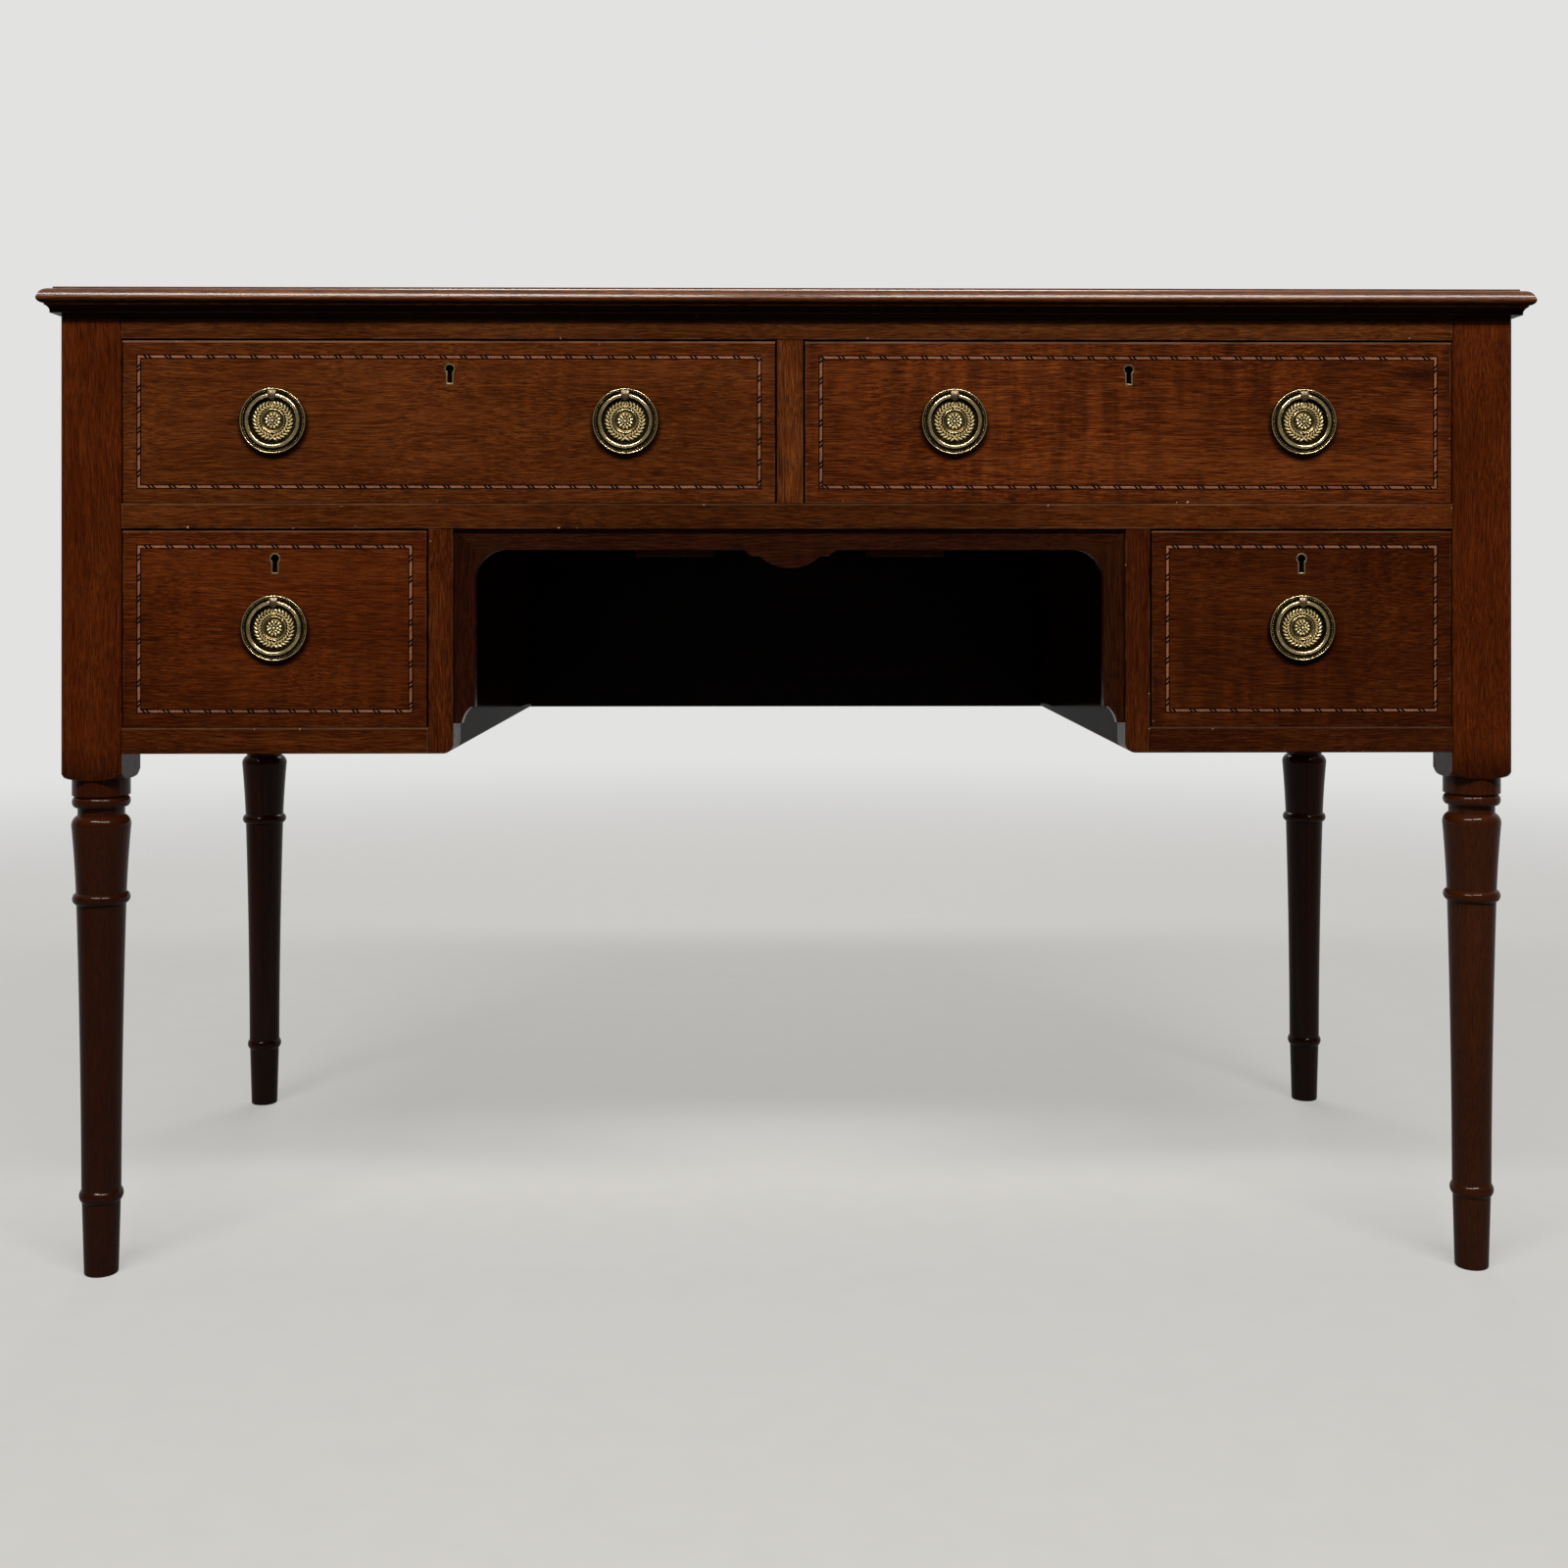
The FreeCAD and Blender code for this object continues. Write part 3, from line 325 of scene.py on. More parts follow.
def worn_and_shaded_edges(graph, colour, place, timber, distance, wear):
    """Grime and painted shade near a board's edges, bare wood and chips along them, and a dark edge line:
    dark joints, and painted shadow in the gaps between parts.
    """
    colour = graph.scaled(colour, graph.step(distance, 0.0, EDGE_DIRT_AND_SHADE_REACH, EDGE_DIRT_AND_SHADE, 1.0))
    patches = graph.step(graph.noise(place, **RUBBED_PATCHES), *RUBBED_RANGE)
    rubbed = graph.math("MULTIPLY", graph.step(distance, 0.6 * MM, 1.3 * MM, wear, 0.0), patches)
    colour = graph.mix(rubbed, colour, opaque(timber.worn))
    chips = graph.step(graph.noise(place, **CHIPS), *CHIP_RANGE)
    chipped = graph.math("MULTIPLY", graph.step(distance, 1.0 * MM, 3.0 * MM, 1.0, 0.0), chips)
    colour = graph.mix(chipped, colour, opaque(CHIP_COLOUR))
    return graph.scaled(colour, graph.step(distance, 0.2 * MM, 0.8 * MM, EDGE_SHADE, 1.0))


def painted_lip_highlight(graph, colour, place, timber, low, high, lip_highlight):
    """Painted highlight along the upper arris of a board, on its front alone: a pale broken line in the
    colour of rubbed wood.
    """
    _, y, z = graph.parts(graph.place)
    broken = graph.step(graph.noise(place, **LIP_BREAKS), *LIP_RANGE, LEAST_LIP, 1.0)
    near_top = graph.step(graph.math("SUBTRACT", high.z, z), 1.0 * MM, 1.9 * MM, lip_highlight, 0.0)
    near_front = graph.step(graph.math("SUBTRACT", y, low.y), 0.5 * MM, 1.5 * MM, 1.0, 0.0)
    lit = graph.math("MULTIPLY", graph.math("MULTIPLY", near_top, broken), near_front)
    return graph.mix(lit, colour, opaque(timber.worn))


def wood(name, timber, grain, box=None, mirrored=False, ripple=0.12, wear=0.3, shades=(), marks=(), halos=(),
         lip_highlight=0.0, contrast=1.0):
    """Board with wandering grain, ripple, pores, worn edges with painted shade, any painted light and shade
    it is given, and a polish, from its place in the frame.
    """
    graph = Surface(name)
    pick = random.Random(name)
    shift = [pick.uniform(-MOST_SHIFT, MOST_SHIFT) for _ in range(3)]
    place = graph.vector("ADD", graph.place, shift)
    sway_reach = [SWAY_REACH, SWAY_REACH, SWAY_REACH]
    sway_reach[grain] = 0.0
    sway = graph.vector("SUBTRACT", graph.noise(place, colour=True, **SWAY), (0.5, 0.5, 0.5))
    swayed = graph.vector("ADD", place, graph.vector("MULTIPLY", sway, sway_reach))

    figure, streak, fibre, fleck, curl = (
        graph.layer(swayed, grain, **layer) for layer in (FIGURE, STREAK, FIBRE, FLECK, CURL)
    )
    tone = graph.total((figure, FIGURE_SHARE), (streak, STREAK_SHARE), (fibre, FIBRE_SHARE))
    spread = TONE_SPREAD / contrast
    colour = graph.ramp(
        tone,
        (TONE_MIDDLE - spread, timber.dark),
        (TONE_MIDDLE, timber.middle),
        (TONE_MIDDLE + LIGHT_SPREAD * spread, timber.light),
    )
    cloud = graph.noise(place, **CLOUD)
    curl_zone = graph.step(graph.noise(place, **CURL_ZONE), *CURL_RANGE)
    curl_lift = graph.math("MULTIPLY", graph.step(curl, 0.30, 0.70, -ripple, ripple), curl_zone)
    colour = graph.scaled(colour, graph.math("ADD", graph.step(cloud, 0.25, 0.75, *CLOUD_LIGHT), curl_lift))
    pores = graph.step(fleck, *PORE_RANGE)
    colour = graph.mix(graph.math("MULTIPLY", pores, PORE_DARKNESS), colour, opaque(timber.pore))

    if box:
        colour = worn_and_shaded_edges(graph, colour, place, timber, edge_distance(graph, *box, mirrored), wear)
        # Painted highlight along the upper arris
        if lip_highlight:
            colour = painted_lip_highlight(graph, colour, place, timber, *box, lip_highlight)
    for axis, start, end, first, last in shades:
        colour = graph.scaled(colour, graph.step(graph.parts(graph.place)[axis], start, end, first, last))
    for spot, reach, strength in marks:
        away = graph.vector("DIVIDE", graph.vector("SUBTRACT", graph.place, spot), reach)
        distance = graph.length(graph.vector("ADD", away, graph.scaled(sway, STAIN_SWAY)))
        colour = graph.scaled(colour, graph.step(distance, 0.3, 1.0, 1.0 - strength, 1.0))
    # Dark rings round the plates: dirt, and painted shadow below them
    for spot, radius in halos:
        away = graph.vector("MULTIPLY", graph.vector("SUBTRACT", graph.place, spot), (1.0, 0.0, 1.0))
        shade_here = graph.step(graph.length(away), radius, radius + HALO_WIDTH, HALO_SHADE, 1.0)
        colour = graph.scaled(colour, shade_here)

    rough = graph.step(cloud, 0.2, 0.8, timber.rough - 0.05, timber.rough + 0.07)
    graph.set(
        Base_Color=colour,
        Roughness=graph.math("ADD", rough, graph.math("MULTIPLY", pores, PORE_ROUGHNESS)),
        Specular_IOR_Level=timber.specular,
        Coat_Weight=timber.coat,
        Coat_Roughness=timber.gloss,
    )
    relief = graph.math("SUBTRACT", graph.math("MULTIPLY", streak, STREAK_RELIEF), pores)
    graph.bump(relief, GRAIN_DEPTH, GRAIN_STRENGTH)
    return graph.material


def stringing(name, low, high):
    """Barber-pole inlay round a drawer front: dark lines, a pale core and pairs of slanted dark slips."""
    graph = Surface(name)
    width = 3.8 * MM
    pitch = 16.1 * MM
    pair_gap = 3.2 * MM
    half_slip = 1.05 * MM
    blur = 0.12 * MM
    drift = 5 * MM
    fibres = (900.0, 400.0, 900.0)
    x, _, z = graph.parts(graph.place)
    from_side = graph.from_ends(x, low.x, high.x)
    from_end = graph.from_ends(z, low.z, high.z)
    across = graph.math("MINIMUM", from_side, from_end)
    upright = graph.math("LESS_THAN", from_side, from_end)
    level = graph.math("SUBTRACT", 1.0, upright)
    along = graph.total((graph.math("SUBTRACT", z, x), upright), (graph.math("ADD", x, z), level))
    wander = graph.math("SUBTRACT", graph.noise(graph.place, scale=22.0, detail=2.0), 0.5)
    along = graph.math("ADD", along, graph.math("MULTIPLY", wander, drift))
    phase = graph.math("FLOORED_MODULO", along, pitch)
    first = graph.away(phase, pitch / 2 - pair_gap / 2)
    second = graph.away(phase, pitch / 2 + pair_gap / 2)
    dark_slip = graph.step(graph.math("MINIMUM", first, second), half_slip - blur, half_slip + blur, 1.0, 0.0)
    border = graph.step(graph.away(across, width / 2), 0.78 * MM, 0.96 * MM)
    grain = graph.noise(graph.vector("MULTIPLY", graph.place, fibres), 1.0)
    fade = graph.noise(graph.place, scale=16.0)
    core = graph.ramp(grain, (0.30, (0.155, 0.055, 0.029)), (0.70, (0.275, 0.110, 0.063)))
    core = graph.scaled(core, graph.step(fade, 0.3, 0.7, 0.75, 1.15))
    ebony = graph.ramp(grain, (0.30, (0.003, 0.0010, 0.0005)), (0.75, (0.012, 0.0036, 0.0014)))
    graph.set(
        Base_Color=graph.mix(graph.math("MAXIMUM", dark_slip, border), core, ebony),
        Roughness=graph.step(fade, 0.2, 0.8, 0.30, 0.42),
        Specular_IOR_Level=0.06,
        Coat_Weight=0.05,
        Coat_Roughness=0.10,
    )
    graph.bump(grain, distance=0.03 * MM, strength=0.4)
    return graph.material


def leather(name, low, high):
    """Dark green hide with a fine grain, scuffs and a gilt line border."""
    graph = Surface(name)
    gilt_lines = ((9 * MM, 1.4 * MM), (12.5 * MM, 0.6 * MM), (26 * MM, 0.6 * MM))
    gilt_colour = (0.52, 0.35, 0.12)
    scuff_colour = (0.060, 0.085, 0.050)
    blur = 0.1 * MM
    x, y, _ = graph.parts(graph.place)
    inset = graph.math("MINIMUM", graph.from_ends(x, low.x, high.x), graph.from_ends(y, low.y, high.y))
    pebbles = graph.cells(graph.place, scale=620.0)
    wobble = graph.scaled(graph.noise(graph.place, scale=40.0, detail=2.0, colour=True), 6 * MM)
    creases = graph.cells(graph.vector("ADD", graph.place, wobble), 330.0, "DISTANCE_TO_EDGE")
    blotch = graph.noise(graph.place, scale=6.0, detail=5.0, rough=0.6)
    scuff = graph.noise(graph.vector("MULTIPLY", graph.place, (26.0, 44.0, 1.0)), 1.0, detail=5.0, rough=0.7)
    colour = graph.ramp(
        blotch,
        (0.30, (0.006, 0.0150, 0.0085)),
        (0.52, (0.012, 0.0290, 0.0160)),
        (0.74, (0.022, 0.0450, 0.0240)),
    )
    colour = graph.mix(graph.step(scuff, 0.60, 0.78, 0.0, 0.35), colour, opaque(scuff_colour))
    colour = graph.scaled(colour, graph.step(creases, 0.0, 0.10, 0.62, 1.0))
    lines = None
    for centre, width in gilt_lines:
        line = graph.step(graph.away(inset, centre), width / 2 - blur, width / 2 + blur, 1.0, 0.0)
        lines = line if lines is None else graph.math("MAXIMUM", lines, line)
    rubbed = graph.step(graph.noise(graph.place, scale=30.0, detail=5.0, rough=0.7), 0.34, 0.52)
    gilt = graph.math("MULTIPLY", lines, rubbed)
    graph.set(
        Base_Color=graph.mix(gilt, colour, opaque(gilt_colour)),
        Metallic=graph.math("MULTIPLY", gilt, 0.85),
        Roughness=graph.step(scuff, 0.3, 0.8, 0.48, 0.60),
        Specular_IOR_Level=0.30,
    )
    height = graph.math("ADD", graph.math("MULTIPLY", pebbles, -0.8), graph.step(creases, 0.0, 0.12))
    height = graph.math("SUBTRACT", height, graph.math("MULTIPLY", lines, 1.5))
    graph.bump(height, distance=0.14 * MM, strength=0.7)
    return graph.material


def brass(name, dark, middle, bright, rough, metal, cast=True):
    """Old brass: rubbed bright on what stands out and dark in the hollows, with a blotchy patina."""
    graph = Surface(name)
    patina = 0.55
    blotch = graph.noise(graph.place, scale=160.0, detail=4.0, rough=0.6)
    spots = graph.noise(graph.place, scale=900.0, detail=3.0, rough=0.6)
    height = graph.attribute(RELIEF) if cast else graph.noise(graph.place, scale=70.0)
    lifted = graph.math("ADD", height, graph.math("MULTIPLY", graph.math("SUBTRACT", blotch, 0.5), patina))
    colour = graph.ramp(lifted, (0.12, dark), (0.50, middle), (0.92, bright))
    graph.set(
        Base_Color=graph.scaled(colour, graph.step(spots, 0.3, 0.7, 0.78, 1.1)),
        Metallic=metal,
        Roughness=graph.step(lifted, 0.1, 0.9, rough + 0.20, rough),
        Specular_IOR_Level=0.3,
    )
    graph.bump(spots, distance=0.05 * MM, strength=0.35)
    return graph.material


class Shape:
    """Points, faces, how far each point stands out and each face's material, gathered into one mesh."""

    def __init__(self):
        self.points = []
        self.faces = []
        self.relief = []
        self.paint = []
        self.brush = 0

    def skin(self, loops, relief, closed=True, capped=False):
        """Joins loops of equal length in turn; relief is one number for each loop."""
        count = len(loops[0])
        start = len(self.points)
        faces = []
        for row in range(len(loops) - 1):
            first = start + row * count
            second = first + count
            for column in range(count if closed else count - 1):
                following = (column + 1) % count
                faces.append((first + column, first + following, second + following, second + column))
        if capped:
            last = start + (len(loops) - 1) * count
            faces.append(tuple(range(start, start + count))[::-1])
            faces.append(tuple(range(last, last + count)))
        for line, standing in zip(loops, relief):
            self.points.extend(Vector(point) for point in line)
            self.relief.extend([standing] * count)
        self.faces.extend(faces)
        self.paint.extend([self.brush] * len(faces))

    def paint_below(self, level):
        """Gives the second material to the faces that lie below a level."""
        for index, face in enumerate(self.faces):
            if max(self.points[corner].z for corner in face) < level:
                self.paint[index] = 1

    def made(self, name, *materials, sharp=38.0):
        """Piece with these materials, smooth except at edges sharper than so many degrees."""
        mesh = bpy.data.meshes.new(name)
        mesh.from_pydata(self.points, [], self.faces)
        for material in materials:
            mesh.materials.append(material)
        mesh.polygons.foreach_set("material_index", self.paint)
        mesh.validate()
        mesh.polygons.foreach_set("use_smooth", [True] * len(mesh.polygons))
        mesh.set_sharp_from_angle(angle=math.radians(sharp))
        values = mesh.attributes.new(RELIEF, "FLOAT", "POINT")
        values.data.foreach_set("value", self.relief)
        mesh.update()
        return placed(name, mesh)


def arc(start, middle, end, steps):
    """Points on the circle through three points, without the start."""
    ax, ay = start
    bx, by = middle
    cx, cy = end
    double = 2 * (ax * (by - cy) + bx * (cy - ay) + cx * (ay - by))
    a2, b2, c2 = ax * ax + ay * ay, bx * bx + by * by, cx * cx + cy * cy
    ux = (a2 * (by - cy) + b2 * (cy - ay) + c2 * (ay - by)) / double
    uy = (a2 * (cx - bx) + b2 * (ax - cx) + c2 * (bx - ax)) / double
    radius = math.hypot(ax - ux, ay - uy)
    first = math.atan2(ay - uy, ax - ux)
    halfway = math.remainder(math.atan2(by - uy, bx - ux) - first, FULL_TURN)
    rest = math.remainder(math.atan2(cy - uy, cx - ux) - first - halfway, FULL_TURN)
    turn = halfway + rest
    angles = [first + turn * index / steps for index in range(1, steps + 1)]
    return [(ux + radius * math.cos(angle), uy + radius * math.sin(angle)) for angle in angles]


def profile(start, *segments, steps=10):
    """Points of an outline of straight lines, given by their ends, and arcs, given by middle and end."""
    points = [start]
    for segment in segments:
        if len(segment) == 1:
            points.append(segment[0])
        else:
            points.extend(arc(points[-1], segment[0], segment[1], steps))
    return points


def turns(count, offset=0.0):
    """Angles that share a full turn evenly."""
    return [FULL_TURN * (index + offset) / count for index in range(count)]


def dress(node, material):
    """Gives a CAD node its material."""
    for slot in nodes[node].material_slots:
        slot.link = "OBJECT"
        slot.material = material


def board(node, timber, grain, **looks):
    """Gives a CAD node a wood that has the node's name."""
    dress(node, wood(node, timber, grain, **looks))


def shade(axis, start, end, first=1.0, last=1.0):
    """Change of light on a board between two places along an axis."""
    return axis, start, end, first, last


def stands_for(piece, body, slot, *replaced):
    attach(piece, body)
    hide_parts(*replaced)


def half_box(node):
    """Corners of the right-hand one of a node's two mirrored solids."""
    points = [vertex.co for vertex in nodes[node].data.vertices]
    near = min(abs(point.x) for point in points)
    low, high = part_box(node)
    return Vector((near, low.y, low.z)), high


# Boards that stay as they are in the frame
# Painted shadow that the top's moulding casts on the upper end of the top rail and posts
SHADOW_UNDER_TOP = (Z, 0.7362, 0.7388)
LEFT_TO_RIGHT = (X, -0.2, 0.2)
END_WOOD = MAHOGANY.but(specular=0.04, coat=0.02)
APRON_WOOD = SHADED_MAHOGANY.tinted(0.52)
WHOLE_BOARDS = {
    # Top rail darker and greyer all over, as painted shade of the overhanging top; lighter towards its right
    # end
    "top_front_rail": dict(
        timber=MAHOGANY.tinted(0.78, 1.1, 1.2), grain=X, lip_highlight=0.35,
        shades=(shade(*SHADOW_UNDER_TOP, last=0.22), shade(X, 0.20, 0.45, last=1.22)),
    ),
    "middle_front_rail": dict(
        timber=MAHOGANY, grain=X, lip_highlight=0.35,
        shades=(shade(X, -0.32, -0.15, last=0.62), shade(X, 0.12, 0.32, last=1.85)),
    ),
    "upper_muntin": dict(timber=MAHOGANY.tinted(1.2, 1.06, 1.2), grain=Z),
    # Back panel darker, nearly black on its face towards the kneehole: painted shade of the recess
    "back_panel": dict(timber=MAHOGANY.tinted(0.6), grain=X, shades=[shade(Y, 0.246, 0.256, first=0.08)]),
}
MIRRORED_BOARDS = {
    "lower_front_rails": dict(
        timber=MAHOGANY.tinted(0.80, 0.9, 0.9), grain=X, lip_highlight=0.4, shades=[shade(*LEFT_TO_RIGHT, last=0.66)],
    ),
    "kneehole_stiles": dict(
        timber=MAHOGANY.tinted(0.74, 0.84, 0.85), grain=Z, shades=[shade(*LEFT_TO_RIGHT, last=0.84)],
    ),
    "apron_glue_blocks": dict(timber=SHADED_MAHOGANY, grain=X),
}
for side in ("left_", "right_"):
    WHOLE_BOARDS[side + "end_panel"] = dict(timber=END_WOOD, grain=Y, ripple=0.2)
    WHOLE_BOARDS[side + "kneehole_panel"] = dict(timber=KNEEHOLE_SHADE_MAHOGANY, grain=Y)
for node, looks in WHOLE_BOARDS.items():
    board(node, box=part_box(node), **looks)
for node, looks in MIRRORED_BOARDS.items():
    board(node, box=half_box(node), mirrored=True, **looks)
for node, grain in (("kneehole_apron", X), ("apron_returns", Z)):
    board(node, APRON_WOOD, grain, contrast=1.6)
for node in ("drawer_runners", "drawer_kickers", "drawer_stops"):
    board(node, OAK, Y, ripple=0.0)

# Drawers
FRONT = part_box("upper_left_drawer_front")[0].y
STAIN_DEPTH = 0.1
LOWER_FRONT = (Z, 0.43, 0.54)
PLATE_RADIUS = 25 * MM
# The dark rings round the plates sit this much lower, as a painted shadow below each plate
PLATE_SHADOW_DROP = 3.0 * MM
PULLS = {
    "upper_left_drawer": ("upper_left_outer_ring", "upper_left_inner_ring"),
    "upper_right_drawer": ("upper_right_inner_ring", "upper_right_outer_ring"),
    "lower_left_drawer": ("lower_left_ring",),
    "lower_right_drawer": ("lower_right_ring",),
}


def stain(x, z, reach_x, reach_z, strength):
    """Dark mark on a drawer's front."""
    return (x, FRONT, z), (reach_x, STAIN_DEPTH, reach_z), strength


FRONTS = {
    "upper_left_drawer": dict(
        timber=MAHOGANY.tinted(0.97), ripple=0.12, lip_highlight=0.75,
        marks=(
            stain(-0.4275, 0.660, 0.011, 0.005, 0.45),
            stain(-0.0816, 0.6405, 0.004, 0.0035, 0.5),
            stain(-0.1027, 0.6186, 0.008, 0.004, 0.4),
        ),
    ),
    "upper_right_drawer": dict(
        timber=MAHOGANY.tinted(1.0, 0.88, 0.85), ripple=0.30, lip_highlight=0.6, contrast=1.35,
        marks=(
            stain(0.487, 0.697, 0.028, 0.009, 0.50),
            stain(0.466, 0.658, 0.026, 0.008, 0.45),
            stain(0.415, 0.693, 0.016, 0.008, 0.35),
            stain(0.447, 0.640, 0.050, 0.009, 0.28),
        ),
    ),
    "lower_left_drawer": dict(
        timber=MAHOGANY.tinted(0.93, 0.80, 0.65), ripple=0.16, lip_highlight=0.4,
        shades=[shade(*LOWER_FRONT, first=0.80)],
    ),
    "lower_right_drawer": dict(
        timber=MAHOGANY.tinted(0.66, 0.84, 0.80), ripple=0.22, lip_highlight=0.4,
        shades=[shade(*LOWER_FRONT, first=0.86)],
    ),
}


def plate_halos(drawer):
    """Dark rings round the plates of a drawer: old polish and dirt gathered round them, and a painted shadow
    below them.
    """
    halos = []
    for ring in PULLS[drawer]:
        low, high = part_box(ring)
        middle = (low + high) / 2
        halos.append(((middle.x, FRONT, low.z + (high.x - low.x) / 2 - PLATE_SHADOW_DROP), PLATE_RADIUS))
    return halos


lock_metal = brass(
    "lock_brass", dark=(0.10, 0.07, 0.030), middle=(0.30, 0.21, 0.085), bright=(0.50, 0.37, 0.17),
    rough=0.42, metal=0.9, cast=False,
)
for drawer, looks in FRONTS.items():
    front = drawer + "_front"
    back = drawer + "_back"
    inlay = drawer + "_stringing"
    board(front, grain=X, box=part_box(front), halos=plate_halos(drawer), **looks)
    board(drawer + "_sides", OAK, Y, ripple=0.0)
    board(back, OAK, X, box=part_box(back), ripple=0.0, wear=0.2)
    board(drawer + "_bottom", OAK.tinted(0.9), X, ripple=0.0)
    dress(inlay, stringing(inlay, *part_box(inlay)))
    dress(drawer + "_lock_case", lock_metal)
    dress(drawer + "_lock_bolt", lock_metal)
dress("writing_leather", leather("writing_leather", *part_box("writing_leather")))


def top_piece():
    """Moulded top with mitred mouldings and a shallow place for the leather."""
    low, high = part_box("table_top")
    leather_low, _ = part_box("writing_leather")
    margin = leather_low.x - low.x
    top = high.z
    bend = math.sqrt(0.5)
    step, step_z = 9.5 * MM, top - 1.6 * MM
    nose_z = top - 9.1 * MM
    worn, worn_z = 0.13 * MM, top - 8.5 * MM
    rub, rub_z = 0.53 * MM, top - 7.45 * MM
    under, under_z = 3.6 * MM, top - 13 * MM
    fillet, fillet_z = under + 1.0 * MM, under_z - 1.3 * MM
    foot = 7.7 * MM
    ovolo = (rub + (step - rub) * (1 - bend), rub_z + (step_z - rub_z) * bend)
    below = (under * (1 - bend), nose_z - (nose_z - under_z) * bend)
    hollow = (fillet + (foot - fillet) * bend, fillet_z - (fillet_z - low.z) * (1 - bend))
    ease = 0.12 * MM
    line = profile(
        (margin, leather_low.z),
        ((margin, top),),
        ((step + ease, top),),
        ((step, top - ease),),
        ((step, step_z),),
        (ovolo, (rub, rub_z)),
        ((worn, worn_z),),
        ((0.0, nose_z),),
        (below, (under, under_z)),
        ((fillet, under_z),),
        ((fillet, fillet_z),),
        (hollow, (foot, low.z)),
    )
    loops = []
    for inset, z in line:
        x0, x1 = low.x + inset, high.x - inset
        y0, y1 = low.y + inset, high.y - inset
        loops.append([(x0, y0, z), (x1, y0, z), (x1, y1, z), (x0, y1, z)])
    shape = Shape()
    shape.skin(loops[::-1], [0.5] * len(loops), capped=True)
    shape.paint_below(nose_z + 0.01 * MM)
    # Painted shade under the nose and in the cavetto, lifted again on the fillet where light reaches it
    fillet_lift = 12.0
    before, after = 0.2 * MM, 0.1 * MM
    under_nose_shade = [
        shade(Z, under_z, worn_z, 0.09, 0.75),
        shade(Z, fillet_z - before, fillet_z + after, last=fillet_lift),
        shade(Z, under_z - before, under_z + after, last=1.0 / fillet_lift),
    ]
    polished = wood("table_top_polished", TOP_MAHOGANY, X, (low, high))
    # Copy of the top's wood without polish for the faces below the nose, which carry the painted shade
    dulled = TOP_MAHOGANY.tinted(1.0, 0.9, 0.9).but(specular=0.02, coat=0.0)
    shaded_underside = wood("table_top_dirty", dulled, X, shades=under_nose_shade)
    return shape.made("table_top_moulded", polished, shaded_underside, sharp=30.0)


stands_for(top_piece(), "carcass", "mahogany", "table_top")

# Legs
LEG_SIDES = 96
POST_EASE = 0.9 * MM
TURNED_TOP = 384.6 * MM
BEYOND_CORNERS = 1.0


def square_reach(angle, half, ease):
    """Distance from the middle of a square to its outline, whose corners are eased."""
    turned = math.remainder(angle, math.pi / 2)
    direction = Vector((math.cos(turned), math.sin(turned)))
    straight = half / direction.x
    if abs(straight * direction.y) <= half - ease:
        return straight
    centre = Vector((half - ease, math.copysign(half - ease, direction.y)))
    along = centre.dot(direction)
    return along + math.sqrt(max(0.0, along * along - centre.length_squared + ease * ease))


def leg_lines(floor, top):
    """Heights and radii of a leg from the foot up; where it is a post, only its square counts."""
    neck, bead, collar = 17.5, 19.95, 21.65
    pommel_top = 393.5
    outline_mm = profile(
        (11.3, 0.0),
        # Foot and ankle ring
        ((12.4, 0.45), (12.8, 1.5)),
        ((14.3, 56.3),),
        ((16.5, 61.0), (14.75, 65.7)),
        # Taper, knee ring and thigh
        ((15.87, 176.2), (18.4, 286.8)),
        ((21.5, 291.4), (18.7, 296.0)),
        ((20.0, 321.25), (21.9, 346.5)),
        # Shoulder, neck and bead
        ((20.61, 353.2), (neck, 356.0)),
        ((neck, 362.5),),
        ((bead, 362.5),),
        ((collar, 366.4), (bead, 370.3)),
        # Groove, collar and pommel
        ((20.35, 371.0),),
        ((collar, 371.7),),
        ((collar, 384.5),),
        ((29.67, 387.14), (33.0, pommel_top)),
        steps=14,
    )
    rows = [(floor + z * MM, radius * MM) for radius, z in outline_mm]
    post_floor = floor + pommel_top * MM + 0.1 * MM
    return rows + [(post_floor, BEYOND_CORNERS), (top, BEYOND_CORNERS)]


def leg_piece(node, *materials):
    """Square post with eased corners, rounded below where it is turned, on a ringed and tapered leg."""
    low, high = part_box(node)
    centre = (low + high) / 2
    half = (high.x - low.x) / 2
    shape = Shape()
    loops = []
    for z, reach in leg_lines(low.z, high.z):
        line = []
        for angle in turns(LEG_SIDES, 0.5):
            radius = min(reach, square_reach(angle, half, POST_EASE))
            line.append((centre.x + radius * math.cos(angle), centre.y + radius * math.sin(angle), z))
        loops.append(line)
    shape.skin(loops, [0.5] * len(loops), capped=True)
    shape.paint_below(low.z + TURNED_TOP)
    return shape.made(node + "_turned", *materials, sharp=32.0)


POST_WOOD = MAHOGANY.tinted(0.80, 0.78, 0.7).but(rough=0.28, specular=0.04, coat=0.06)
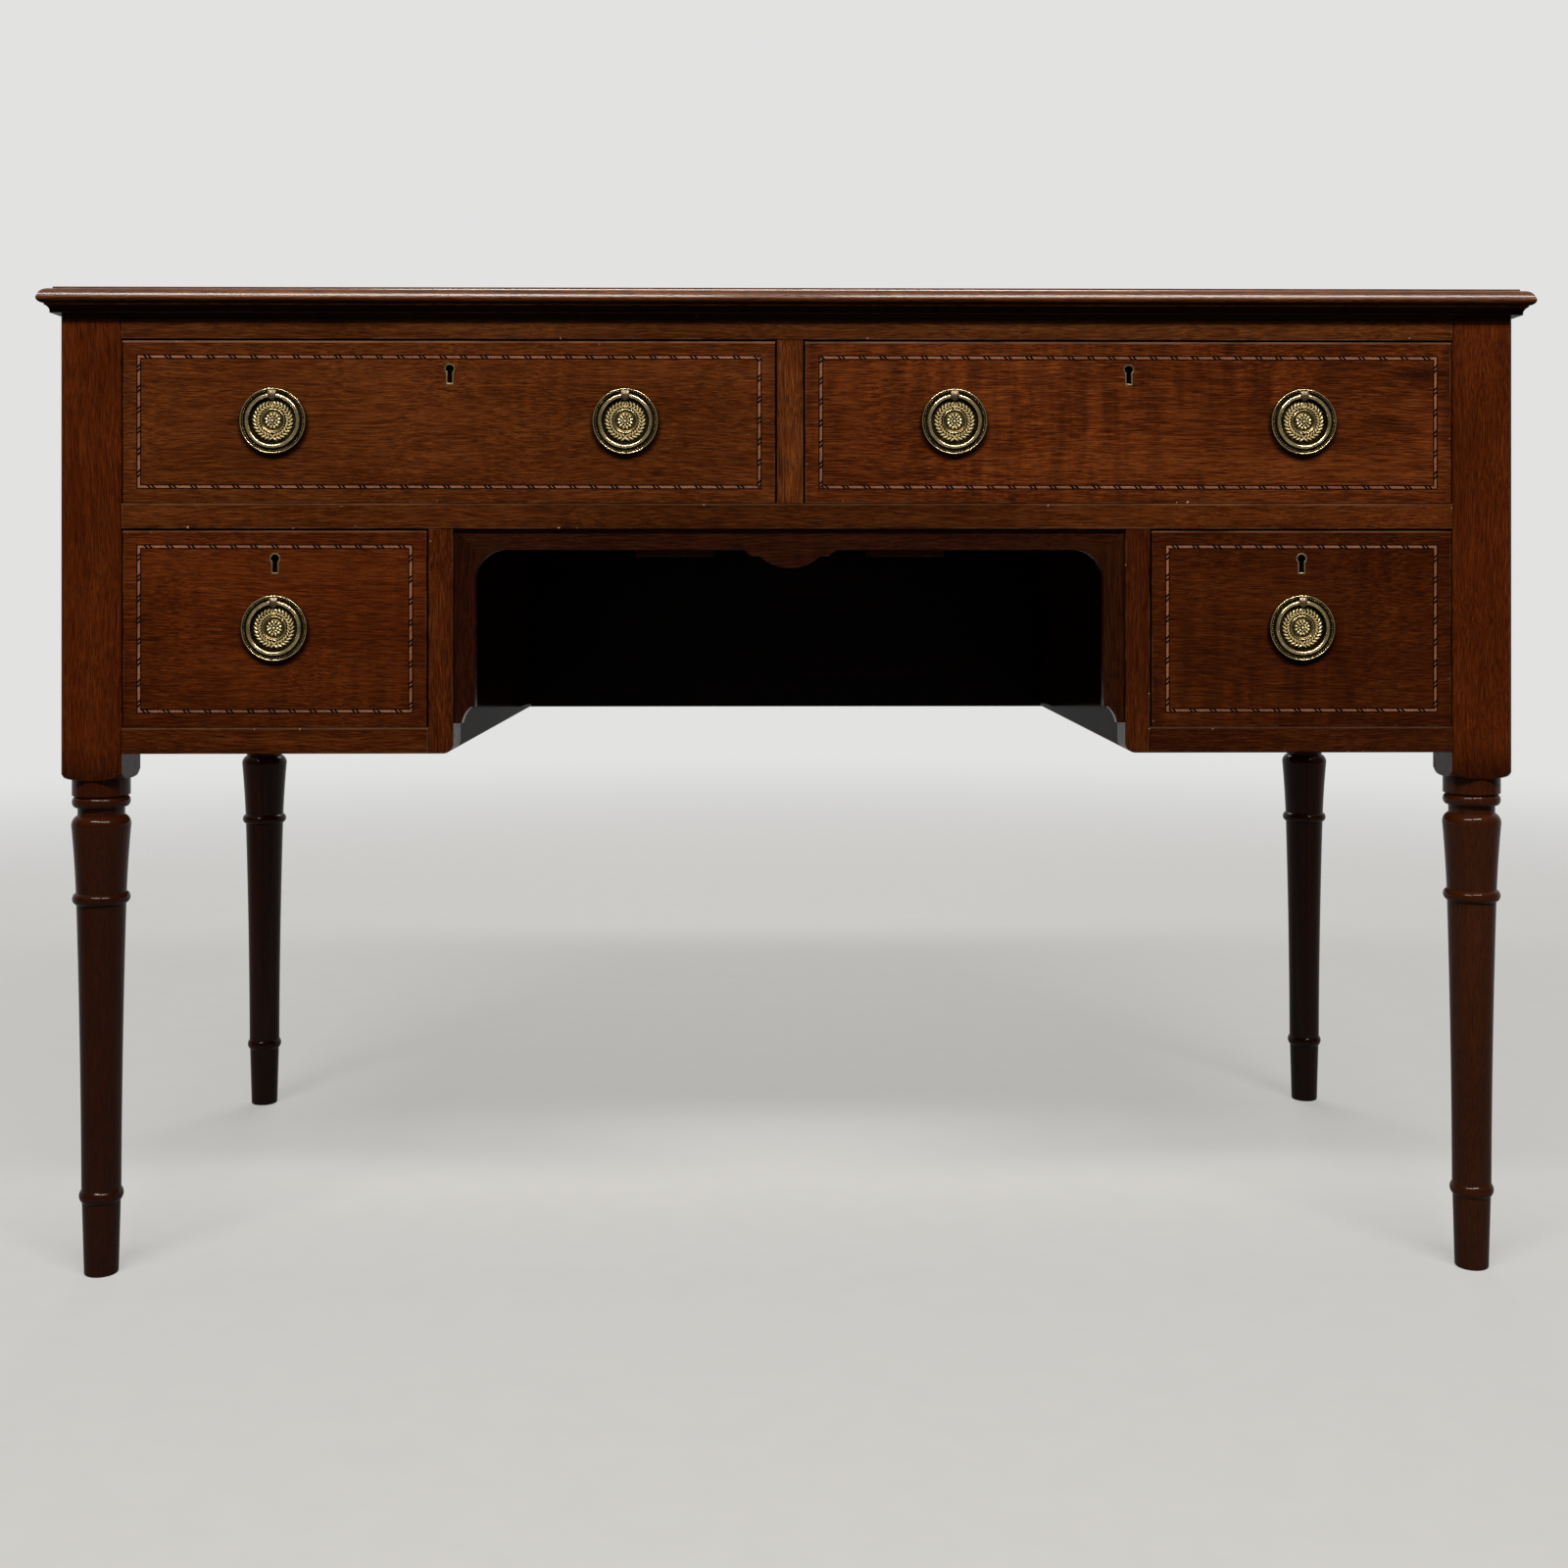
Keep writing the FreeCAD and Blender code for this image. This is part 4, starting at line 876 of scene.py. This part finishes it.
# Painted shadow under the top's moulding, and darker towards the pommel
POST_SHADES = [shade(*SHADOW_UNDER_TOP, last=0.25), shade(Z, 0.384, 0.412, first=0.48)]
LEG_CONTRAST = 0.75
LEG_WOODS = {
    "front_left_leg": (TURNED_MAHOGANY, 1.35),
    "front_right_leg": (TURNED_MAHOGANY.tinted(1.60, 1.25, 1.5), 1.0),
    # Back legs darker: painted shade, as they stand at the back away from the light
    "back_left_leg": (TURNED_MAHOGANY.tinted(0.85), 1.2),
    "back_right_leg": (TURNED_MAHOGANY.tinted(0.75), 1.2),
}
for node, (turned_wood, lift) in LEG_WOODS.items():
    turned_shades = [shade(Z, 0.0, 0.30, first=0.78), shade(Z, 0.26, 0.384, last=lift)]
    post = wood(node + "_post", POST_WOOD, Z, ripple=0.0, shades=POST_SHADES, contrast=LEG_CONTRAST)
    turning = wood(node + "_turning", turned_wood, Z, ripple=0.0, shades=turned_shades, contrast=LEG_CONTRAST)
    stands_for(leg_piece(node, post, turning), "carcass", "mahogany", node)

# Ring pulls and keyhole plates
RING_RADIUS = 19.8 * MM
RING_LIFT = 3.6 * MM
RING_SECTION = 1.8 * MM
RING_SLIMMER = 0.45 * MM
PIVOT_RADIUS = 1.3 * MM
PIVOT_GAP = 3.2 * MM
PLAIN, KNUCKLE, LEAF = 0, 1, 2
PLATE_SIDES = 72
BEADS = 90
LEAF_PAIRS = 15
LEAF_TILT = 0.75
OUTER_PETALS = 12
INNER_PETALS = 8
OUTER_LEAF = dict(radius=13.9 * MM, length=4.7 * MM, width=2.00 * MM, out=1.8 * MM, height=1.7 * MM)
INNER_LEAF = dict(radius=11.3 * MM, length=4.1 * MM, width=1.75 * MM, out=1.8 * MM, height=1.8 * MM)
CROWN_LEAF = dict(radius=12.7 * MM, length=5.6 * MM, width=2.0 * MM, out=1.8 * MM, height=1.7 * MM)
OUTER_PETAL = dict(radius=4.8 * MM, length=2.7 * MM, width=2.2 * MM, out=2.1 * MM, height=1.1 * MM)
INNER_PETAL = dict(radius=2.65 * MM, length=2.1 * MM, width=1.7 * MM, out=2.5 * MM, height=1.1 * MM)
RIM_BEAD = dict(out=2.3 * MM, radius=0.72 * MM, height=1.1 * MM, sides=7, rows=3, shine=0.38)
ROSETTE_BUTTON = dict(out=2.8 * MM, radius=1.25 * MM, height=1.6 * MM, sides=16, rows=5, shine=0.9)
BEAD_CIRCLE = 23.1 * MM
KEYHOLE_DROP = 21.3 * MM


class Pull:
    """Places on a drawer's front: right, up and out from the middle of a plate."""

    def __init__(self, x, z):
        self.x = x
        self.z = z

    def at(self, right, up, out):
        return Vector((self.x + right, FRONT - out, self.z + up))

    def round(self, radius, out, sides):
        return [self.at(radius * math.cos(angle), radius * math.sin(angle), out) for angle in turns(sides)]


def leaf(shape, pull, turn, tilt, radius, length, width, out, height):
    """Pointed half-round leaf whose middle lies at radius and turn, tilted from the outward direction."""
    rows, columns = 7, 5
    tip = 0.03
    fullness = 0.75
    middle = Vector((radius * math.cos(turn), radius * math.sin(turn)))
    heading = turn + tilt
    forward = Vector((math.cos(heading), math.sin(heading)))
    sideways = Vector((-forward.y, forward.x))
    loops = []
    for row in range(rows):
        along = -1 + 2 * row / (rows - 1)
        swell = max(tip, 1 - along * along) ** fullness
        line = []
        for column in range(columns):
            angle = math.pi * column / (columns - 1)
            flat = middle + forward * (along * length / 2) + sideways * (swell * width / 2 * math.cos(angle))
            line.append(pull.at(flat.x, flat.y, out + swell * height * math.sin(angle)))
        loops.append(line)
    start = len(shape.points)
    shape.skin(loops, [0.5] * rows, closed=False)
    for index in range(rows * columns):
        column = index % columns
        shape.relief[start + index] = max(0.0, 1.2 * math.sin(math.pi * column / (columns - 1)) - 0.2)


def dome(shape, pull, right, up, out, radius, height, sides, rows, shine):
    """Small rounded bead, rubbed bright on its crown by shine."""
    loops = []
    relief = []
    centre = Pull(pull.x + right, pull.z + up)
    for row in range(rows + 1):
        angle = math.pi / 2 * row / rows
        reach = max(radius * math.cos(angle), 0.02 * radius)
        loops.append(centre.round(reach, out + height * math.sin(angle), sides))
        relief.append(0.1 + shine * math.sin(angle))
    shape.skin(loops, relief, capped=True)


def lathe(shape, pull, line, levels, beds):
    """Turns an outline about the plate's middle; its height gives the relief, and the beds are dark."""
    low, high = levels
    loops = [pull.round(max(radius, 0.02 * MM), out, PLATE_SIDES) for radius, out in line]
    relief = []
    for radius, out in line:
        standing = min(0.75, max(0.0, (out - low) / (high - low)))
        for inner, outer, dirt in beds:
            if inner <= radius <= outer:
                standing = dirt
        relief.append(standing)
    shape.skin(loops, relief, capped=True)


def plate(shape, pull):
    """Round plate: beaded rim, channel for the ring, laurel wreath, fillet, dish and rosette."""
    line = profile(
        (25.0, 0.0),
        # Rim and the bed of its beads
        ((25.0, 3.2),),
        ((24.55, 3.8), (24.1, 3.2)),
        ((23.9, 2.3),),
        ((22.3, 2.3),),
        # Channel and the swelling under the wreath
        ((22.1, 1.2),),
        ((16.3, 1.2),),
        ((12.6, 2.3), (9.5, 1.9)),
        # Fillet, dish and the bed of the rosette
        ((9.4, 2.8),),
        ((9.0, 3.2), (8.6, 2.8)),
        ((8.4, 2.3),),
        ((7.2, 1.7), (6.2, 1.9)),
        ((5.9, 2.3),),
        ((0.0, 2.8),),
        steps=6,
    )
    outline = [(radius * MM, out * MM) for radius, out in line]
    rosette_bed = (0.0, 6.0 * MM, 0.12)
    wreath_bed = (9.45 * MM, 16.2 * MM, 0.12)
    channel_bed = (16.25 * MM, 24.0 * MM, 0.24)
    lathe(shape, pull, outline, (0.7 * MM, 3.4 * MM), (rosette_bed, wreath_bed, channel_bed))
    for turn in turns(BEADS, 0.5):
        dome(shape, pull, BEAD_CIRCLE * math.cos(turn), BEAD_CIRCLE * math.sin(turn), **RIM_BEAD)
    shape.brush = LEAF
    for index in range(LEAF_PAIRS):
        for side in (-1, 1):
            turn = -math.pi / 2 + side * math.pi * (index + 0.5) / LEAF_PAIRS
            onward = side * math.pi / 2
            leaf(shape, pull, turn, onward - side * LEAF_TILT, **OUTER_LEAF)
            leaf(shape, pull, turn, onward + side * LEAF_TILT, **INNER_LEAF)
    leaf(shape, pull, math.pi / 2, 0.0, **CROWN_LEAF)
    for turn in turns(OUTER_PETALS, 0.5):
        leaf(shape, pull, turn, 0.0, **OUTER_PETAL)
    for turn in turns(INNER_PETALS):
        leaf(shape, pull, turn, 0.0, **INNER_PETAL)
    dome(shape, pull, 0.0, 0.0, **ROSETTE_BUTTON)
    shape.brush = PLAIN


def knuckle_eye(shape, pull):
    """Eye on the bolt, in which the ring's pivot turns."""
    half_width = 2.7 * MM
    outer = 2.9 * MM
    seat = 1.2 * MM
    eye = PIVOT_RADIUS + 0.2 * MM
    outer_loops = []
    inner_loops = []
    for right in (-half_width, half_width):
        around = []
        hole = []
        for angle in turns(32):
            up, out = math.cos(angle), math.sin(angle)
            reach = out * outer if out > -0.5 else seat - RING_LIFT
            around.append(pull.at(right, RING_RADIUS + up * outer, RING_LIFT + reach))
            hole.append(pull.at(right, RING_RADIUS + up * eye, RING_LIFT + out * eye))
        outer_loops.append(around)
        inner_loops.append(hole)
    shape.skin([inner_loops[0]] + outer_loops + [inner_loops[1]], [0.1, 0.4, 0.4, 0.1])
    shape.skin(inner_loops[::-1], [0.1, 0.1])


def knuckle_shield(shape, pull):
    """Shield over the eye, pointed below and fluted above."""
    bottom, top = 15.9 * MM, 23.5 * MM
    half_width = 2.85 * MM
    back, front, rise = 4.9 * MM, 5.3 * MM, 1.7 * MM
    fall_off = 0.9 * MM
    flutes, flute_depth, flute_start = 3, 0.45 * MM, 0.66
    rows, columns = 16, 13
    loops = []
    relief = []
    for row in range(rows):
        part = row / (rows - 1)
        up = bottom + (top - bottom) * part
        wide = half_width * min(1.0, 0.16 + 1.5 * math.sqrt(part)) * (1.0 - 0.10 * part ** 8)
        crown = front + rise * math.sin(math.pi * min(1.0, 0.08 + 0.92 * part)) ** 0.6
        flute = flute_depth * max(0.0, min(1.0, (part - flute_start) / 0.08))
        line = [pull.at(-wide, up, back)]
        for column in range(columns):
            across = -1 + 2 * column / (columns - 1)
            wave = 0.5 - 0.5 * math.cos(flutes * math.pi * (across + 1))
            line.append(pull.at(across * wide, up, crown - fall_off * across ** 4 - flute * wave))
        line.append(pull.at(wide, up, back))
        loops.append(line)
        relief.append(0.35 + 0.5 * max(0.0, (part - flute_start) / (1 - flute_start)))
    shape.skin(loops, relief, capped=True)


def bolt_and_nut(shape, pull):
    """What shows inside the drawer: the bolt's end and its six-sided nut."""
    shank = Pull(pull.x, pull.z + RING_RADIUS)
    inside = -20.0
    stem = [(2.0, 1.2), (2.0, -25.4), (1.6, -26.0)]
    nut = [(4.4, 0.0), (4.5, -0.3), (4.5, -3.6), (4.1, -4.0), (2.05, -4.0)]
    for line, start, sides, standing in ((stem, 0.0, 20, 0.4), (nut, inside, 6, 0.5)):
        loops = [shank.round(radius * MM, (start + out) * MM, sides) for radius, out in line]
        shape.skin(loops[::-1], [standing] * len(loops), capped=True)


def keyhole_line(radius, half_slot, drop, steps=24):
    """Outline of a keyhole about the middle of its head, right and up."""
    meet = math.asin(half_slot / radius)
    line = [(-half_slot, -drop)]
    for index in range(steps + 1):
        angle = -math.pi / 2 - meet - (FULL_TURN - 2 * meet) * index / steps
        line.append((radius * math.cos(angle), radius * math.sin(angle)))
    line.append((half_slot, -drop))
    return line


def escutcheon(shape, drawer):
    """Thin brass lining of a keyhole, a little proud of the wood."""
    case_low, case_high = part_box(drawer + "_lock_case")
    _, front_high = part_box(drawer + "_front")
    spot = Pull((case_low.x + case_high.x) / 2, front_high.z - KEYHOLE_DROP)
    wall = 1.2 * MM
    depth, proud = 4.0 * MM, 0.22 * MM
    radius, half_slot, drop = 3.1 * MM, 1.8 * MM, 11.0 * MM
    outside = ((wall, -depth), (wall, 0.0), (0.8 * wall, proud))
    hole = ((0.3 * wall, proud), (0.0, 0.0), (0.0, -depth))
    loops = []
    for grow, out in outside + hole:
        line = keyhole_line(radius + grow, half_slot + grow, drop + grow)
        loops.append([spot.at(right, up, out) for right, up in line])
    shape.skin(loops + [loops[0]], [0.1, 0.4, 0.75, 0.75, 0.4, 0.0, 0.1])


def ring_piece(name, material):
    """Cast ring that closes on a straight pivot through the knuckle."""
    low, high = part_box(name)
    pull = Pull((low.x + high.x) / 2, low.z + RING_RADIUS + RING_SECTION)
    shape = Shape()
    start = math.asin(PIVOT_GAP / RING_RADIUS)
    steps, around = 96, 16
    loops = []
    for index in range(steps + 1):
        turn = start + (FULL_TURN - 2 * start) * index / steps
        line = []
        for angle in turns(around):
            radius = RING_RADIUS - RING_SLIMMER / 2 + (RING_SECTION - RING_SLIMMER / 2) * math.cos(angle)
            out = RING_LIFT + RING_SECTION * math.sin(angle)
            line.append(pull.at(radius * math.sin(turn), radius * math.cos(turn), out))
        loops.append(line)
    shape.skin(loops, [0.5] * len(loops), capped=True)
    for index in range(len(shape.relief)):
        shape.relief[index] = 0.30 + 0.50 * math.sin(FULL_TURN * (index % around) / around)
    pivot_end = PIVOT_GAP + RING_SECTION
    loops = []
    for right in (-pivot_end, -PIVOT_GAP, PIVOT_GAP, pivot_end):
        line = []
        for angle in turns(around):
            up = RING_RADIUS + PIVOT_RADIUS * math.cos(angle)
            line.append(pull.at(right, up, RING_LIFT + PIVOT_RADIUS * math.sin(angle)))
        loops.append(line)
    shape.skin(loops, [0.3] * len(loops), capped=True)
    return pull, shape.made(name + "_cast", material)


old_brass = brass(
    "brass", dark=(0.010, 0.007, 0.002), middle=(0.18, 0.126, 0.042), bright=(1.0, 0.82, 0.48),
    rough=0.16, metal=0.92,
)
copper_brass = brass(
    "copper_brass", dark=(0.014, 0.009, 0.005), middle=(0.17, 0.120, 0.070), bright=(0.85, 0.69, 0.44),
    rough=0.28, metal=0.6,
)
leaf_brass = brass(
    "leaf_brass", dark=(0.004, 0.003, 0.001), middle=(0.21, 0.148, 0.054), bright=(0.96, 0.79, 0.42),
    rough=0.22, metal=0.5,
)
for drawer, rings in PULLS.items():
    shape = Shape()
    for ring in rings:
        pull, piece = ring_piece(ring, old_brass)
        stands_for(piece, ring, "brass", ring)
        plate(shape, pull)
        shape.brush = KNUCKLE
        knuckle_eye(shape, pull)
        knuckle_shield(shape, pull)
        shape.brush = PLAIN
        bolt_and_nut(shape, pull)
    escutcheon(shape, drawer)
    piece = shape.made(drawer + "_brasses_cast", old_brass, copper_brass, leaf_brass)
    stands_for(piece, drawer, "brass", drawer + "_brasses")

# Floor that fades into the pale surroundings, so that no edge shows
PALE = (0.76, 0.76, 0.755)
DIM = (0.09, 0.09, 0.09)
FLOOR_COLOUR = (0.22, 0.217, 0.212)
FLOOR_GLOW = (0.36, 0.358, 0.352)
FLOOR_REACH = 40.0
FLOOR_SIDES = 96
FADE_START = 1.2
FADE_END = 4.0


def floor_material():
    """Floor that glows for the camera, and in reflections of what is behind the table."""
    graph = Surface("studio_floor")
    x, y, _ = graph.parts(graph.place)
    fade = graph.step(graph.math("SQRT", graph.total((x, x), (y, y))), FADE_START, FADE_END)
    speckle = graph.noise(graph.place, scale=30.0, detail=4.0)
    seen = graph.seen(graph.step(y, -1.0, 1.0))
    graph.set(
        Base_Color=graph.scaled(FLOOR_COLOUR, graph.step(speckle, 0.3, 0.7, 0.98, 1.02)),
        Roughness=0.85,
        Specular_IOR_Level=0.1,
        Emission_Color=opaque(FLOOR_GLOW),
        Emission_Strength=seen,
    )
    glow = graph.new("Emission")
    graph.fill(glow, Color=opaque(PALE))
    graph.show_mixed(graph.math("MULTIPLY", fade, seen), graph.shader.outputs[0], glow.outputs[0])
    return graph.material


def studio_floor():
    mesh = bpy.data.meshes.new("studio_floor")
    rim = [(FLOOR_REACH * math.cos(turn), FLOOR_REACH * math.sin(turn), 0.0) for turn in turns(FLOOR_SIDES)]
    mesh.from_pydata(rim, [], [tuple(range(FLOOR_SIDES))])
    mesh.materials.append(floor_material())
    piece = placed("studio_floor", mesh)


def studio_world():
    """Pale to the camera, pale in reflections of what is behind the table, and dim as a light."""
    world = bpy.data.worlds.new("studio")
    scene.world = world
    graph = Graph(world, "OutputWorld")
    _, back, up = graph.parts(graph.coordinates["Generated"])
    behind = graph.step(back, -0.1, 0.6, kind="LINEAR")
    overhead = graph.step(up, 0.45, 0.9, end=0.5, kind="LINEAR")
    shaders = []
    for colour in (DIM, PALE):
        background = graph.new("Background")
        graph.fill(background, Color=opaque(colour))
        shaders.append(background.outputs[0])
    graph.show_mixed(graph.seen(graph.math("MAXIMUM", behind, overhead)), *shaders)


studio_floor()
studio_world()

# Lamps
WARM_WHITE = (1.0, 0.96, 0.90)


def lamp(name, place, aim, width, height, power):
    data = bpy.data.lights.new(name, "AREA")
    data.shape = "RECTANGLE"
    data.size = width
    data.size_y = height
    data.energy = power
    data.color = WARM_WHITE
    piece = placed(name, data)
    piece.location = place
    piece.rotation_euler = (Vector(aim) - Vector(place)).to_track_quat("-Z", "Y").to_euler()


for side, name in ((-1, "lamp_left"), (1, "lamp_right")):
    lamp(name, place=(side * 0.90, -2.05, 2.85), aim=(side * 0.35, -0.25, 0.6),
         width=1.6, height=0.32, power=75.0)
lamp("lamp_back", place=(0.0, 2.2, 2.4), aim=(0.0, 0.2, 0.5), width=2.0, height=0.8, power=45.0)

# Camera of the photograph, from its measured places on the table
FRAME_WIDTH = 1600.0
FOCAL_PIXELS = 1955.4
MIDDLE_X = 817.7
MIDDLE_Y = 581.4
SENSOR = 36.0
CAMERA_PLACE = (-11.6 * MM, -1734.5 * MM, 546 * MM)
CAMERA_TURN = -0.787
camera_data = bpy.data.cameras.new("camera")
camera_data.sensor_fit = "HORIZONTAL"
camera_data.sensor_width = SENSOR
camera_data.lens = SENSOR * FOCAL_PIXELS / FRAME_WIDTH
camera_data.shift_x = (FRAME_WIDTH / 2 - MIDDLE_X) / FRAME_WIDTH
camera_data.shift_y = (MIDDLE_Y - FRAME_WIDTH / 2) / FRAME_WIDTH
camera = placed("camera", camera_data)
camera.location = CAMERA_PLACE
camera.rotation_euler = (math.radians(90), 0.0, math.radians(CAMERA_TURN))
scene.camera = camera
scene.view_settings.view_transform = "Standard"
